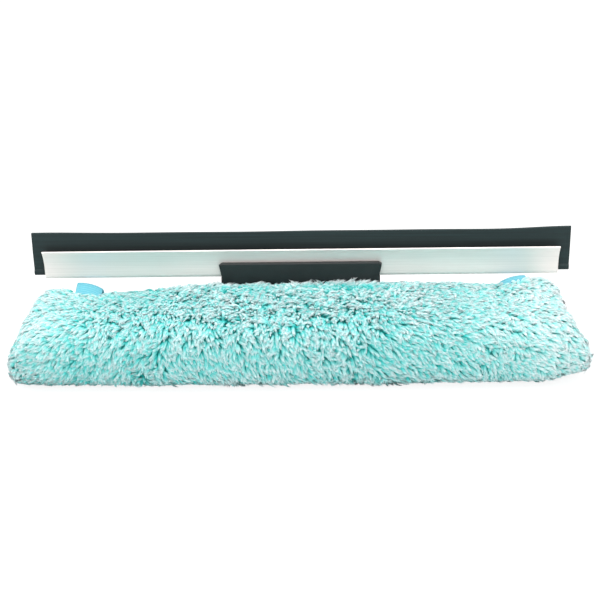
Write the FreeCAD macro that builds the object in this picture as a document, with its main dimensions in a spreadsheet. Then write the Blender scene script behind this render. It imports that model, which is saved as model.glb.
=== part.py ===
"""Two-in-one window scrubber: a microfibre sleeve on a T-bar, with a squeegee standing behind it.

Frame: millimetres, +X along the sleeve, +Y back towards the handle, +Z up. The origin is the middle
of the flat scrub face, on the surface that the tool lies on.
"""
import FreeCAD
import Part
import Sketcher
import math
import os
from FreeCAD import Vector

# Driving dimensions in millimetres, apart from shares, counts and angles
SIZES = {
    # Clearances
    "overrun": 5.0,
    "running_gap": 0.05,
    "seat_gap": 0.1,
    "soft_gap": 0.4,
    # Sleeve with its pile
    "sleeve_length": 360.0,
    "sleeve_width": 74.0,
    "sleeve_height": 47.5,
    "sleeve_end_round": 15.0,
    "sleeve_end_drop": 12.0,
    "sleeve_end_lean": 7.0,
    "sleeve_end_skew": 6.0,
    "sleeve_end_swell": 2.5,
    "sole_trim": 0.6,
    # Bar inside the sleeve, with the neck and the hinge knuckle
    "bar_length": 332.0,
    "bar_width": 52.0,
    "bar_thickness": 18.0,
    "bar_floor": 11.0,
    "bar_corner": 14.0,
    "bar_edge_round": 4.0,
    "slot_length": 16.0,
    "slot_width": 7.0,
    "slot_row": 11.0,
    "slot_span": 270.0,
    "neck_width": 60.0,
    "neck_thickness": 14.0,
    "neck_floor": 9.0,
    "neck_reach": 59.0,
    "pivot_reach": 73.0,
    "knuckle_radius": 11.0,
    "knuckle_width": 20.0,
    # Slit in the sleeve, its binding tape and touch fastener
    "slit_length": 296.0,
    "slit_height": 2.8,
    "slit_recess": 2.0,
    "tape_width": 7.0,
    "tape_thickness": 1.5,
    "tape_arm_width": 15.0,
    "tape_arm_top": 47.2,
    "tape_slant": 8.0,
    "strip_length": 96.0,
    "strip_depth": 5.0,
    "strip_thickness": 1.2,
    "strip_inset": 3.0,
    # Squeegee rubber
    "blade_plane": 40.0,
    "blade_length": 350.0,
    "blade_height": 28.0,
    "blade_thickness": 3.0,
    "blade_tip_thickness": 2.0,
    "blade_taper_height": 12.0,
    "bead_radius": 2.5,
    "bead_half_height": 2.0,
    # Aluminium channel
    "channel_length": 335.0,
    "channel_floor": 50.3,
    "channel_wall": 1.6,
    "channel_front_height": 20.0,
    "channel_rear_height": 14.0,
    "channel_foot_round": 2.2,
    "chamber_gap": 0.4,
    "flare_start": 7.0,
    "lip_reach": 4.5,
    "jaw_rise": 8.0,
    "jaw_height": 3.0,
    # Bracket on the neck
    "bracket_width": 104.0,
    "bracket_wall": 4.0,
    "bracket_jaw_height": 13.0,
    "bracket_round": 1.5,
    "web_height": 7.4,
    "foot_thickness": 4.0,
    "gusset_thickness": 3.0,
    "gusset_pitch": 27.0,
    "gusset_rise": 13.0,
    "gusset_toe": 1.0,
    # Clip plate
    "clip_width": 106.0,
    "clip_foot_width": 102.0,
    "clip_height": 15.2,
    "clip_drop": 4.6,
    "clip_thickness": 3.0,
    "clip_gap": 0.45,
    "clip_corner_width": 2.0,
    "clip_corner_height": 1.3,
    "clip_foot_round": 4.0,
    "clip_edge_round": 0.8,
    "boss_radius": 2.7,
    "boss_length": 6.0,
    # Screws
    "screw_radius": 1.5,
    "screw_head_radius": 2.8,
    "screw_head_height": 2.0,
    "clip_screw_pitch": 36.0,
    "clip_screw_length": 9.5,
    "bracket_screw_pitch": 28.0,
    "bracket_screw_length": 14.0,
    "bracket_screw_inset": 5.0,
    # Hinge of the handle
    "bolt_radius": 3.0,
    "bolt_head_flats": 10.0,
    "bolt_head_height": 4.0,
    "bolt_end": 31.0,
    "bolt_chamfer": 0.6,
    "washer_thickness": 1.0,
    "washer_radius": 10.0,
    "knob_washer_thickness": 1.2,
    "knob_washer_radius": 7.0,
    # Handle with the pole socket
    "yoke_width": 36.0,
    "yoke_length": 27.0,
    "yoke_taper": 14.0,
    "yoke_round": 1.5,
    "crotch_gap": 1.5,
    "barrel_radius": 14.0,
    "barrel_start": 20.0,
    "barrel_length": 98.0,
    "barrel_shoulder": 5.0,
    "bore_radius": 11.1,
    "bore_depth": 58.0,
    "grip_start": 29.0,
    "grip_length": 56.0,
    "grip_thickness": 1.6,
    "grip_end_slope": 3.0,
    "grip_edge": 0.4,
    "rib_pitch": 6.0,
    "rib_groove": 2.4,
    "rib_groove_depth": 0.8,
    "collar_radius": 16.0,
    "collar_length": 10.0,
    "collar_lip": 2.0,
    "collar_round": 1.2,
    "collar_mouth_gap": 0.8,
    "flute_radius": 1.0,
    # Clamp knob and its brass thread
    "knob_radius": 13.0,
    "knob_hub_radius": 8.0,
    "knob_hub_length": 3.0,
    "knob_length": 14.0,
    "knob_round": 1.2,
    "scallop_radius": 5.0,
    "scallop_offset": 15.0,
    "insert_radius": 4.5,
    "insert_length": 11.0,
}

SLOT_COUNT = 9
FLUTE_COUNT = 24
SCALLOP_COUNT = 6
FULL_TURN = 360.0

# Form of the pillow's cross-section, as shares of its half width or its height
FOOT_WIDTH_SHARE = 0.52
FOOT_BULGE_SHARE = 0.9
FOOT_BULGE_HEIGHT_SHARE = 0.16
WAIST_HEIGHT_SHARE = 0.48
FRONT_BULGE_SHARE = 0.945
FRONT_BULGE_HEIGHT_SHARE = 0.73
FRONT_SHOULDER_SHARE = 0.667
FRONT_SHOULDER_HEIGHT_SHARE = 0.93
BACK_BULGE_SHARE = 0.97
BACK_BULGE_HEIGHT_SHARE = 0.79
BACK_SHOULDER_SHARE = 0.77
BACK_SHOULDER_HEIGHT_SHARE = 0.975
# Radius of the lip's crown, as a share of the channel's wall
LIP_CROWN_SHARE = 0.6
# Slope of each side of a grip groove, as a share of the groove's width
GROOVE_SLOPE_SHARE = 0.25
# Steps round the end of the pillow, as shares of a quarter turn
END_STEP_SHARES = (0.93, 0.8, 0.62, 0.42, 0.2, 0.0)
# Steps along the straight middle, as shares of its half length and of the swell at its ends
MIDDLE_STEP_SHARES = ((0.95, 1.0), (0.86, -0.2), (0.76, -0.8), (0.58, -0.5), (0.4, 0.0), (0.0, 0.0))

LEFT = 1
RIGHT = -1

doc = FreeCAD.newDocument("WindowScrubber")


class Size:
    """A formula of sheet cells together with the value that the formula has now."""

    def __init__(self, formula, value):
        self.formula = formula
        self.value = value

    @staticmethod
    def of(other):
        """Takes a plain number, such as a divisor, as a size."""
        return other if isinstance(other, Size) else Size(repr(other), other)

    def __add__(self, other):
        other = Size.of(other)
        return Size(f"({self.formula} + {other.formula})", self.value + other.value)

    def __sub__(self, other):
        other = Size.of(other)
        return Size(f"({self.formula} - {other.formula})", self.value - other.value)

    def __mul__(self, other):
        other = Size.of(other)
        return Size(f"({self.formula} * {other.formula})", self.value * other.value)

    def __truediv__(self, other):
        other = Size.of(other)
        return Size(f"({self.formula} / {other.formula})", self.value / other.value)

    def __neg__(self):
        return Size(f"(0 - {self.formula})", -self.value)


class SizeSheet:
    """The spreadsheet of driving dimensions. Each alias reads as an attribute that holds a Size."""

    def __init__(self, sizes):
        self.values = sizes
        sheet = doc.addObject("Spreadsheet::Sheet", "Sizes")
        for row, (alias, value) in enumerate(sizes.items(), start=1):
            sheet.set(f"A{row}", alias)
            sheet.set(f"B{row}", str(value))
            sheet.setAlias(f"B{row}", alias)
        doc.recompute()

    def __getattr__(self, alias):
        return Size(f"Sizes.{alias}", self.values[alias])


s = SizeSheet(SIZES)


class Layout:
    """Places that several pieces share, worked out from the sheet."""

    half_neck = s.neck_width / 2
    half_slit = s.slit_length / 2
    pivot_z = s.collar_radius
    neck_top = s.neck_floor + s.neck_thickness
    neck_root = s.bar_width / 2 - s.bar_edge_round
    sleeve_back = s.sleeve_width / 2
    flap_face = sleeve_back - s.slit_recess
    tape_back = flap_face + s.soft_gap
    slit_top = pivot_z + s.slit_height / 2
    slit_floor = pivot_z - s.slit_height / 2
    over_neck = neck_top + s.soft_gap
    under_neck = s.neck_floor - s.soft_gap
    arm_start = half_slit - s.tape_arm_width

    chamber_front = s.blade_plane - s.bead_radius - s.chamber_gap
    chamber_back = s.blade_plane + s.bead_radius + s.chamber_gap
    channel_front = chamber_front - s.channel_wall
    channel_back = chamber_back + s.channel_wall
    chamber_floor = s.channel_floor + s.channel_wall
    blade_foot = chamber_floor + s.chamber_gap

    bracket_front = channel_back + s.seat_gap
    bracket_back = bracket_front + s.bracket_wall
    web_top = s.channel_floor - s.seat_gap
    web_floor = web_top - s.web_height
    clip_screw_z = web_floor + s.web_height / 2
    clip_back = channel_front - s.clip_gap
    boss_end = clip_back + s.boss_length
    screw_hole = s.screw_radius + s.running_gap
    foot_top = neck_top + s.foot_thickness
    bracket_screw_y = s.neck_reach - s.bracket_screw_inset

    half_knuckle = s.knuckle_width / 2
    ear_inside = half_knuckle + s.washer_thickness + s.seat_gap
    ear_outside = s.yoke_width / 2
    bolt_hole = s.bolt_radius + s.running_gap
    crotch = s.pivot_reach + s.knuckle_radius + s.crotch_gap
    barrel_start = s.pivot_reach + s.barrel_start
    barrel_end = s.pivot_reach + s.barrel_length
    grip_start = s.pivot_reach + s.grip_start
    knob_start = ear_outside + s.seat_gap + s.knob_washer_thickness + s.seat_gap


def new_body(label):
    """A part-design body whose label is the name of its node."""
    body = doc.addObject("PartDesign::Body", label)
    body.Label = label
    return body


def new_sketch(body, name, role, origin=(0, 0, 0)):
    """A sketch on one of the body's own origin planes, moved to a place given in the plane's axes."""
    sketch = body.newObject("Sketcher::SketchObject", name)
    plane = next(f for f in body.Origin.OriginFeatures if f.Role == role)
    sketch.AttachmentSupport = (plane, [""])
    sketch.MapMode = "FlatFace"
    for axis, place in zip("xyz", origin):
        if isinstance(place, Size):
            sketch.setExpression(f"AttachmentOffset.Base.{axis}", place.formula)
    return sketch


def tie(sketch, kind, *where, size):
    """Adds a dimension to a sketch and binds it to its formula."""
    index = sketch.addConstraint(Sketcher.Constraint(kind, *where, size.value))
    sketch.setExpression(f"Constraints[{index}]", size.formula)


def place_point(sketch, edge, end, u, v):
    """Ties the end of an edge to its distances from the sketch's origin."""
    for kind, axis, size in (("DistanceX", -2, u), ("DistanceY", -1, v)):
        if isinstance(size, Size):
            tie(sketch, kind, -1, 1, edge, end, size=size)
        else:
            sketch.addConstraint(Sketcher.Constraint("PointOnObject", edge, end, axis))


def arc_edge(start, end, radius, turn):
    """The arc of under half a circle from start to end that turns left or right."""
    chord = end - start
    rise = math.sqrt(max(radius ** 2 - (chord.Length / 2) ** 2, 0.0))
    to_left = Vector(-chord.y, chord.x, 0).normalize()
    centre = start + chord * 0.5 + to_left * (rise * turn)
    first, last = (start, end) if turn == LEFT else (end, start)
    first_angle = math.atan2(first.y - centre.y, first.x - centre.x)
    last_angle = math.atan2(last.y - centre.y, last.x - centre.x)
    if last_angle < first_angle:
        last_angle += 2 * math.pi
    circle = Part.Circle(centre, Vector(0, 0, 1), radius)
    return Part.ArcOfCircle(circle, first_angle, last_angle)


def outline(sketch, corners):
    """Draws a closed outline with every corner tied to the sheet.

    A corner is (u, v), or (u, v, radius, turn) where an arc leads to it from the corner before.
    """
    spots = [Vector(Size.of(c[0]).value, Size.of(c[1]).value, 0) for c in corners]
    ends = []
    for i, corner in enumerate(corners):
        start, end = spots[i - 1], spots[i]
        if len(corner) == 2:
            edge = sketch.addGeometry(Part.LineSegment(start, end))
            ends.append((edge, 1, 2))
            continue
        radius, turn = corner[2:]
        edge = sketch.addGeometry(arc_edge(start, end, radius.value, turn))
        ends.append((edge, 1, 2) if turn == LEFT else (edge, 2, 1))
    for i, corner in enumerate(corners):
        edge, _, last = ends[i]
        after, first, _ = ends[(i + 1) % len(ends)]
        sketch.addConstraint(Sketcher.Constraint("Coincident", edge, last, after, first))
        place_point(sketch, edge, last, corner[0], corner[1])
        if len(corner) > 2:
            tie(sketch, "Radius", edge, size=corner[2])


def ring(sketch, u, v, radius):
    """Draws a circle with its centre and radius tied to the sheet."""
    centre = Vector(Size.of(u).value, Size.of(v).value, 0)
    edge = sketch.addGeometry(Part.Circle(centre, Vector(0, 0, 1), radius.value))
    tie(sketch, "Radius", edge, size=radius)
    if isinstance(u, Size) or isinstance(v, Size):
        place_point(sketch, edge, 3, u, v)
    else:
        sketch.addConstraint(Sketcher.Constraint("Coincident", edge, 3, -1, 1))


def rectangle(sketch, left, right, low, high):
    """Draws a rectangle between four places."""
    outline(sketch, [(left, low), (right, low), (right, high), (left, high)])


def pad(sketch, length, symmetric=False, reverse=False):
    """Adds material along the sketch's normal, to one side or half to each side."""
    body = sketch.getParentGeoFeatureGroup()
    feature = body.newObject("PartDesign::Pad", f"{sketch.Name}Pad")
    feature.Profile = sketch
    feature.setExpression("Length", length.formula)
    feature.SideType = "Symmetric" if symmetric else "One side"
    feature.Reversed = reverse
    doc.recompute()
    return feature


def pocket(sketch, length=None, reverse=False):
    """Cuts to a depth, or both ways through everything, and checks that something was cut."""
    body = sketch.getParentGeoFeatureGroup()
    before = body.Shape.Volume
    feature = body.newObject("PartDesign::Pocket", f"{sketch.Name}Pocket")
    feature.Profile = sketch
    if length is None:
        feature.Type = "ThroughAll"
        feature.SideType = "Symmetric"
    else:
        feature.setExpression("Length", length.formula)
        feature.Reversed = reverse
    doc.recompute()
    if not body.Shape.Volume < before:
        raise RuntimeError(f"{feature.Name} cut nothing")
    return feature


def turned(sketch, axis, kind="PartDesign::Revolution"):
    """Revolves a sketch about its H_Axis or V_Axis, to add a turned form or to groove one."""
    body = sketch.getParentGeoFeatureGroup()
    feature = body.newObject(kind, f"{sketch.Name}Turn")
    feature.Profile = sketch
    feature.ReferenceAxis = (sketch, [axis])
    feature.Angle = FULL_TURN
    doc.recompute()
    return feature


def rounded(body, radius, chosen):
    """Fillets the chosen edges of the body's present shape."""
    base = body.Tip
    names = [f"Edge{i}" for i, edge in enumerate(base.Shape.Edges, start=1) if chosen(edge)]
    feature = body.newObject("PartDesign::Fillet", f"{base.Name}Round")
    feature.Base = (base, names)
    feature.setExpression("Radius", radius.formula)
    doc.recompute()
    return feature


def repeated(body, kind, original, settings, formulas):
    """Patterns a feature and makes the pattern the body's tip."""
    pattern = body.newObject(kind, f"{original.Name}Pattern")
    pattern.Originals = [original]
    for name, value in settings.items():
        setattr(pattern, name, value)
    for name, size in formulas.items():
        pattern.setExpression(name, size.formula)
    body.Tip = pattern
    doc.recompute()
    return pattern


def flat_at(place, axis):
    """Chooses the edges that lie wholly at one place along an axis."""
    middle = "XYZ"[axis]

    def chosen(edge):
        box = edge.BoundBox
        low, high = getattr(box, f"{middle}Min"), getattr(box, f"{middle}Max")
        return abs(low - place) < s.running_gap.value and abs(high - place) < s.running_gap.value

    return chosen


def group(label, members):
    """Several separate solids as one node."""
    compound = doc.addObject("Part::Compound", label)
    compound.Label = label
    compound.Links = members
    return compound


def make_t_bar():
    """The moulded bar, with slots that hold water, the neck and the knuckle."""
    body = new_body("t_bar")
    half_length, half_width = s.bar_length / 2, s.bar_width / 2
    plan = new_sketch(body, "BarPlan", "XY_Plane", (0, 0, s.bar_floor))
    inner_x, inner_y = half_length - s.bar_corner, half_width - s.bar_corner
    outline(plan, [
        (inner_x, -half_width),
        (half_length, -inner_y, s.bar_corner, LEFT), (half_length, inner_y),
        (inner_x, half_width, s.bar_corner, LEFT), (-inner_x, half_width),
        (-half_length, inner_y, s.bar_corner, LEFT), (-half_length, -inner_y),
        (-inner_x, -half_width, s.bar_corner, LEFT),
    ])
    pad(plan, s.bar_thickness)
    bar_top = s.bar_floor + s.bar_thickness
    low, high = flat_at(s.bar_floor.value, 2), flat_at(bar_top.value, 2)
    rounded(body, s.bar_edge_round, lambda edge: low(edge) or high(edge))

    slots = new_sketch(body, "WaterSlots", "XY_Plane", (0, 0, s.bar_floor))
    half_slot = s.slot_width / 2
    first, last = -s.slot_span / 2, -s.slot_span / 2 + s.slot_length
    for row in (-s.slot_row, s.slot_row):
        outline(slots, [
            (last, row - half_slot),
            (last + half_slot, row, half_slot, LEFT), (last, row + half_slot, half_slot, LEFT),
            (first, row + half_slot), (first - half_slot, row, half_slot, LEFT),
            (first, row - half_slot, half_slot, LEFT),
        ])
    cut = pocket(slots)
    x_axis = next(f for f in body.Origin.OriginFeatures if f.Role == "X_Axis")
    repeated(body, "PartDesign::LinearPattern", cut,
             {"Direction": (x_axis, [""]), "Occurrences": SLOT_COUNT},
             {"Length": s.slot_span - s.slot_length})

    neck = new_sketch(body, "NeckPlan", "XY_Plane", (0, 0, s.neck_floor))
    outline(neck, [
        (-Layout.half_neck, Layout.neck_root), (Layout.half_neck, Layout.neck_root),
        (Layout.half_neck, s.neck_reach),
        (Layout.half_knuckle, s.neck_reach), (Layout.half_knuckle, s.pivot_reach),
        (-Layout.half_knuckle, s.pivot_reach), (-Layout.half_knuckle, s.neck_reach),
        (-Layout.half_neck, s.neck_reach),
    ])
    pad(neck, s.neck_thickness)
    knuckle = new_sketch(body, "Knuckle", "YZ_Plane")
    ring(knuckle, s.pivot_reach, Layout.pivot_z, s.knuckle_radius)
    pad(knuckle, s.knuckle_width, symmetric=True)
    bore = new_sketch(body, "PivotBore", "YZ_Plane")
    ring(bore, s.pivot_reach, Layout.pivot_z, Layout.bolt_hole)
    pocket(bore)
    pilots = new_sketch(body, "BracketPilots", "XY_Plane", (0, 0, Layout.neck_top))
    for side in (-1, 1):
        ring(pilots, s.bracket_screw_pitch * side / 2, Layout.bracket_screw_y, Layout.screw_hole)
    pocket(pilots, s.bracket_screw_length - s.foot_thickness + s.seat_gap)
    return body


def pillow_section(x, half_width, height):
    """One cross-section of the sleeve: flat foot under the floor, bulging sides and a crown.

    Towards the ends the section's plane leans inwards, most at the top of the back.
    """
    foot = -s.sole_trim.value
    along = x / s.sleeve_length.value * 2

    def at(width_share, height_share):
        inward = s.sleeve_end_lean.value * height_share + s.sleeve_end_skew.value * (1 + width_share) / 2
        return Vector(x - along * inward, half_width * width_share, foot + (height - foot) * height_share)

    lower = [(FOOT_WIDTH_SHARE, 0.0), (FOOT_BULGE_SHARE, FOOT_BULGE_HEIGHT_SHARE), (1.0, WAIST_HEIGHT_SHARE)]
    back = [at(w, h) for w, h in lower + [(BACK_BULGE_SHARE, BACK_BULGE_HEIGHT_SHARE),
                                          (BACK_SHOULDER_SHARE, BACK_SHOULDER_HEIGHT_SHARE)]]
    front = [at(-w, h) for w, h in lower + [(FRONT_BULGE_SHARE, FRONT_BULGE_HEIGHT_SHARE),
                                            (FRONT_SHOULDER_SHARE, FRONT_SHOULDER_HEIGHT_SHARE)]]
    edges = [
        Part.LineSegment(front[0], back[0]), Part.Arc(back[0], back[1], back[2]),
        Part.Arc(back[2], back[3], back[4]), Part.Arc(back[4], at(0.0, 1.0), front[4]),
        Part.Arc(front[4], front[3], front[2]), Part.Arc(front[2], front[1], front[0]),
    ]
    return Part.Wire([edge.toShape() for edge in edges])


def make_sleeve():
    """The pile sleeve: a crowned pillow with a flat sole, a pocket for the bar and a bound slit."""
    half_length, half_width = s.sleeve_length.value / 2, s.sleeve_width.value / 2
    height, swell = s.sleeve_height.value, s.sleeve_end_swell.value
    straight = half_length - s.sleeve_end_round.value
    widest_step = math.sin(math.pi / 2 * END_STEP_SHARES[0])
    stations = []
    for share in END_STEP_SHARES:
        angle = math.pi / 2 * share
        x = straight + s.sleeve_end_round.value * math.sin(angle) / widest_step
        fall = 1 - math.cos(angle)
        stations.append((x, half_width - s.sleeve_end_round.value * fall,
                         height + swell - s.sleeve_end_drop.value * fall))
    stations += [(straight * share, half_width, height + swell * rise) for share, rise in MIDDLE_STEP_SHARES]
    mirrored = [(-x, w, h) for x, w, h in reversed(stations) if x > 0]
    wires = [pillow_section(*station) for station in stations + mirrored]
    pillow = doc.addObject("Part::Feature", "Pillow")
    pillow.Shape = Part.makeLoft(wires, True, False)

    hollows = []

    def hollow(name, length, width, height, y, z, middle=0):
        box = doc.addObject("Part::Box", name)
        for key, size in (("Length", length), ("Width", width), ("Height", height),
                          ("Placement.Base.x", -length / 2 + middle), ("Placement.Base.y", y),
                          ("Placement.Base.z", z)):
            box.setExpression(key, size.formula)
        hollows.append(box)

    gap = s.soft_gap
    half_bar = s.bar_width / 2
    outside = Layout.sleeve_back + s.overrun
    below = s.sole_trim + s.overrun
    hollow("BarPocket", s.bar_length + gap * 2, s.bar_width + gap * 2, s.bar_thickness + gap * 2,
           -half_bar - gap, s.bar_floor - gap)
    hollow("NeckOpening", s.neck_width + gap * 2, outside - Layout.neck_root + gap,
           s.neck_thickness + gap * 2, Layout.neck_root - gap, s.neck_floor - gap)
    hollow("Slit", s.slit_length, outside - half_bar, s.slit_height, half_bar, Layout.slit_floor)
    recess_floor = Layout.under_neck - s.tape_width - gap
    recess_top = Layout.over_neck + s.tape_width + gap
    hollow("FlapRecess", s.slit_length + gap * 2, outside - Layout.flap_face, recess_top - recess_floor,
           Layout.flap_face, recess_floor)
    for side, name in ((-1, "LeftArmRecess"), (1, "RightArmRecess")):
        hollow(name, s.tape_arm_width + gap * 2, outside - Layout.flap_face, s.sleeve_height - recess_floor,
               Layout.flap_face, recess_floor, (Layout.arm_start + s.tape_arm_width / 2) * side)
    hollow("SoleTrim", s.sleeve_length + s.overrun, outside * 2, below, -outside, -below)
    tool = doc.addObject("Part::MultiFuse", "SleeveHollows")
    tool.Shapes = hollows
    sleeve = doc.addObject("Part::Cut", "scrubber_sleeve")
    sleeve.Label = "scrubber_sleeve"
    sleeve.Base = pillow
    sleeve.Tool = tool
    return sleeve


def make_upper_binding():
    """Blue tape round the upper flap: along the slit, over the neck and up both ends of the flap."""
    body = new_body("upper_slit_binding")
    tape = new_sketch(body, "UpperTape", "XZ_Plane", (0, 0, -Layout.tape_back))
    low, over = Layout.slit_top, Layout.over_neck
    near, far = Layout.half_neck + s.soft_gap, Layout.half_neck + s.soft_gap + s.tape_slant
    right = [
        (near, over), (far, low), (Layout.half_slit, low), (Layout.half_slit, s.tape_arm_top),
        (Layout.arm_start, s.tape_arm_top), (Layout.arm_start, low + s.tape_width),
        (far, low + s.tape_width), (near, over + s.tape_width),
    ]
    left = [(-u, v) for u, v in reversed(right)]
    outline(tape, right + left)
    pad(tape, s.tape_thickness, reverse=True)
    return body


def make_lower_binding():
    """Blue tape along the lower edge of the slit, dipping under the neck."""
    body = new_body("lower_slit_binding")
    tape = new_sketch(body, "LowerTape", "XZ_Plane", (0, 0, -Layout.tape_back))
    high, under = Layout.slit_floor, Layout.under_neck
    near, far = Layout.half_neck + s.soft_gap, Layout.half_neck + s.soft_gap + s.tape_slant
    right = [
        (near, under - s.tape_width), (far, high - s.tape_width), (Layout.half_slit, high - s.tape_width),
        (Layout.half_slit, high), (far, high), (near, under),
    ]
    left = [(-u, v) for u, v in reversed(right)]
    outline(tape, right + left)
    pad(tape, s.tape_thickness, reverse=True)
    return body


def make_closure_strips(label, floor):
    """A pair of touch-fastener strips, one on each side of the neck, lying in the slit."""
    members = []
    back = Layout.flap_face - s.strip_inset
    for side, name in ((-1, "Left"), (1, "Right")):
        strip = doc.addObject("Part::Box", f"{label}{name}")
        middle = (Layout.half_neck + Layout.half_slit) * side / 2
        for key, size in (("Length", s.strip_length), ("Width", s.strip_depth),
                          ("Height", s.strip_thickness), ("Placement.Base.x", middle - s.strip_length / 2),
                          ("Placement.Base.y", back - s.strip_depth), ("Placement.Base.z", floor)):
            strip.setExpression(key, size.formula)
        members.append(strip)
    return group(label, members)


def make_blade():
    """The squeegee rubber: a bead that the channel holds, and a blade that thins to its edge."""
    body = new_body("rubber_blade")
    profile = new_sketch(body, "BladeProfile", "YZ_Plane")
    half, half_tip = s.blade_thickness / 2, s.blade_tip_thickness / 2
    foot, top = Layout.blade_foot, Layout.blade_foot + s.blade_height
    bead_top = foot + s.bead_half_height * 2
    front, back = s.blade_plane - half, s.blade_plane + half
    taper = top - s.blade_taper_height
    outline(profile, [
        (back, foot), (back, bead_top, s.bead_radius, LEFT), (back, taper), (s.blade_plane + half_tip, top),
        (s.blade_plane - half_tip, top), (front, taper), (front, bead_top),
        (front, foot, s.bead_radius, LEFT),
    ])
    pad(profile, s.blade_length, symmetric=True)
    return body


def make_channel():
    """The extruded channel: a chamber for the bead, two jaws, and a front wall that flares to a lip."""
    body = new_body("squeegee_channel")
    profile = new_sketch(body, "ChannelProfile", "YZ_Plane")
    rise = s.channel_front_height - s.flare_start
    flare = (s.lip_reach * s.lip_reach + rise * rise) / (s.lip_reach * 2)
    lip_top = s.channel_floor + s.channel_front_height
    lip_front = Layout.channel_front - s.lip_reach
    rear_top = s.channel_floor + s.channel_rear_height
    jaw_floor = s.channel_floor + s.jaw_rise
    jaw_top = jaw_floor + s.jaw_height
    grip_front = s.blade_plane - s.blade_thickness / 2 - s.running_gap
    grip_back = s.blade_plane + s.blade_thickness / 2 + s.running_gap
    outline(profile, [
        (Layout.channel_front, s.channel_floor), (Layout.channel_back, s.channel_floor),
        (Layout.channel_back, rear_top), (grip_back, rear_top), (grip_back, rear_top - s.jaw_height),
        (Layout.chamber_back, rear_top - s.jaw_height), (Layout.chamber_back, Layout.chamber_floor),
        (Layout.chamber_front, Layout.chamber_floor), (Layout.chamber_front, jaw_floor),
        (grip_front, jaw_floor), (grip_front, jaw_top), (Layout.chamber_front, jaw_top),
        (lip_front + s.channel_wall, lip_top, flare, LEFT),
        (lip_front, lip_top, s.channel_wall * LIP_CROWN_SHARE, LEFT),
        (Layout.channel_front, s.channel_floor + s.flare_start, flare, RIGHT),
    ])
    pad(profile, s.channel_length, symmetric=True)
    at_foot, at_front = flat_at(s.channel_floor.value, 2), flat_at(Layout.channel_front.value, 1)
    rounded(body, s.channel_foot_round, lambda edge: at_foot(edge) and at_front(edge))
    return body


def make_bracket():
    """The bracket: foot on the neck, tapering tower with gussets, web under the channel, rear jaw."""
    body = new_body("squeegee_bracket")
    profile = new_sketch(body, "BracketProfile", "YZ_Plane")
    jaw_top = s.channel_floor + s.bracket_jaw_height
    outline(profile, [
        (Layout.bracket_front, Layout.neck_top), (s.neck_reach, Layout.neck_top),
        (s.neck_reach, Layout.foot_top), (Layout.bracket_back, Layout.foot_top),
        (Layout.bracket_back, jaw_top), (Layout.bracket_front, jaw_top),
        (Layout.bracket_front, Layout.web_top), (Layout.channel_front, Layout.web_top),
        (Layout.channel_front, Layout.web_floor), (Layout.bracket_front, Layout.web_floor),
    ])
    pad(profile, s.bracket_width, symmetric=True)
    sides = new_sketch(body, "BracketSides", "XZ_Plane")
    half = s.bracket_width / 2
    beyond, below = half + s.overrun, Layout.neck_top - s.overrun
    right = [
        (Layout.half_neck, Layout.foot_top), (Layout.half_neck, below), (beyond, below),
        (beyond, Layout.web_floor), (half, Layout.web_floor),
    ]
    outline(sides, right)
    outline(sides, [(-u, v) for u, v in reversed(right)])
    pocket(sides)
    top_back = flat_at(jaw_top.value, 2)
    rounded(body, s.bracket_round, lambda edge: top_back(edge) and edge.Length > half.value)
    for name, side in (("Left", -1), ("Middle", 0), ("Right", 1)):
        gusset = new_sketch(body, f"Gusset{name}", "YZ_Plane",
                            (0, 0, s.gusset_pitch * side - s.gusset_thickness / 2))
        outline(gusset, [
            (Layout.bracket_back, Layout.foot_top), (s.neck_reach - s.gusset_toe, Layout.foot_top),
            (Layout.bracket_back, Layout.foot_top + s.gusset_rise),
        ])
        pad(gusset, s.gusset_thickness)
    clip_places = [s.clip_screw_pitch * step for step in (-1, 0, 1)]
    through = new_sketch(body, "ClipScrewHoles", "XZ_Plane", (0, 0, -Layout.bracket_back))
    for x in clip_places:
        ring(through, x, Layout.clip_screw_z, Layout.screw_hole)
    depth = Layout.bracket_back - Layout.channel_front + s.overrun
    pocket(through, depth, reverse=True)
    heads = new_sketch(body, "ClipScrewHeads", "XZ_Plane", (0, 0, -Layout.bracket_back))
    for x in clip_places:
        ring(heads, x, Layout.clip_screw_z, s.screw_head_radius + s.seat_gap)
    pocket(heads, s.screw_head_height, reverse=True)
    sockets = new_sketch(body, "BossSockets", "XZ_Plane", (0, 0, -Layout.channel_front))
    for x in clip_places:
        ring(sockets, x, Layout.clip_screw_z, s.boss_radius + s.seat_gap)
    pocket(sockets, Layout.boss_end + s.seat_gap - Layout.channel_front)
    feet = new_sketch(body, "FootHoles", "XY_Plane", (0, 0, Layout.foot_top))
    for side in (-1, 1):
        ring(feet, s.bracket_screw_pitch * side / 2, Layout.bracket_screw_y, Layout.screw_hole)
    pocket(feet, s.foot_thickness + s.overrun)
    return body


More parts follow.
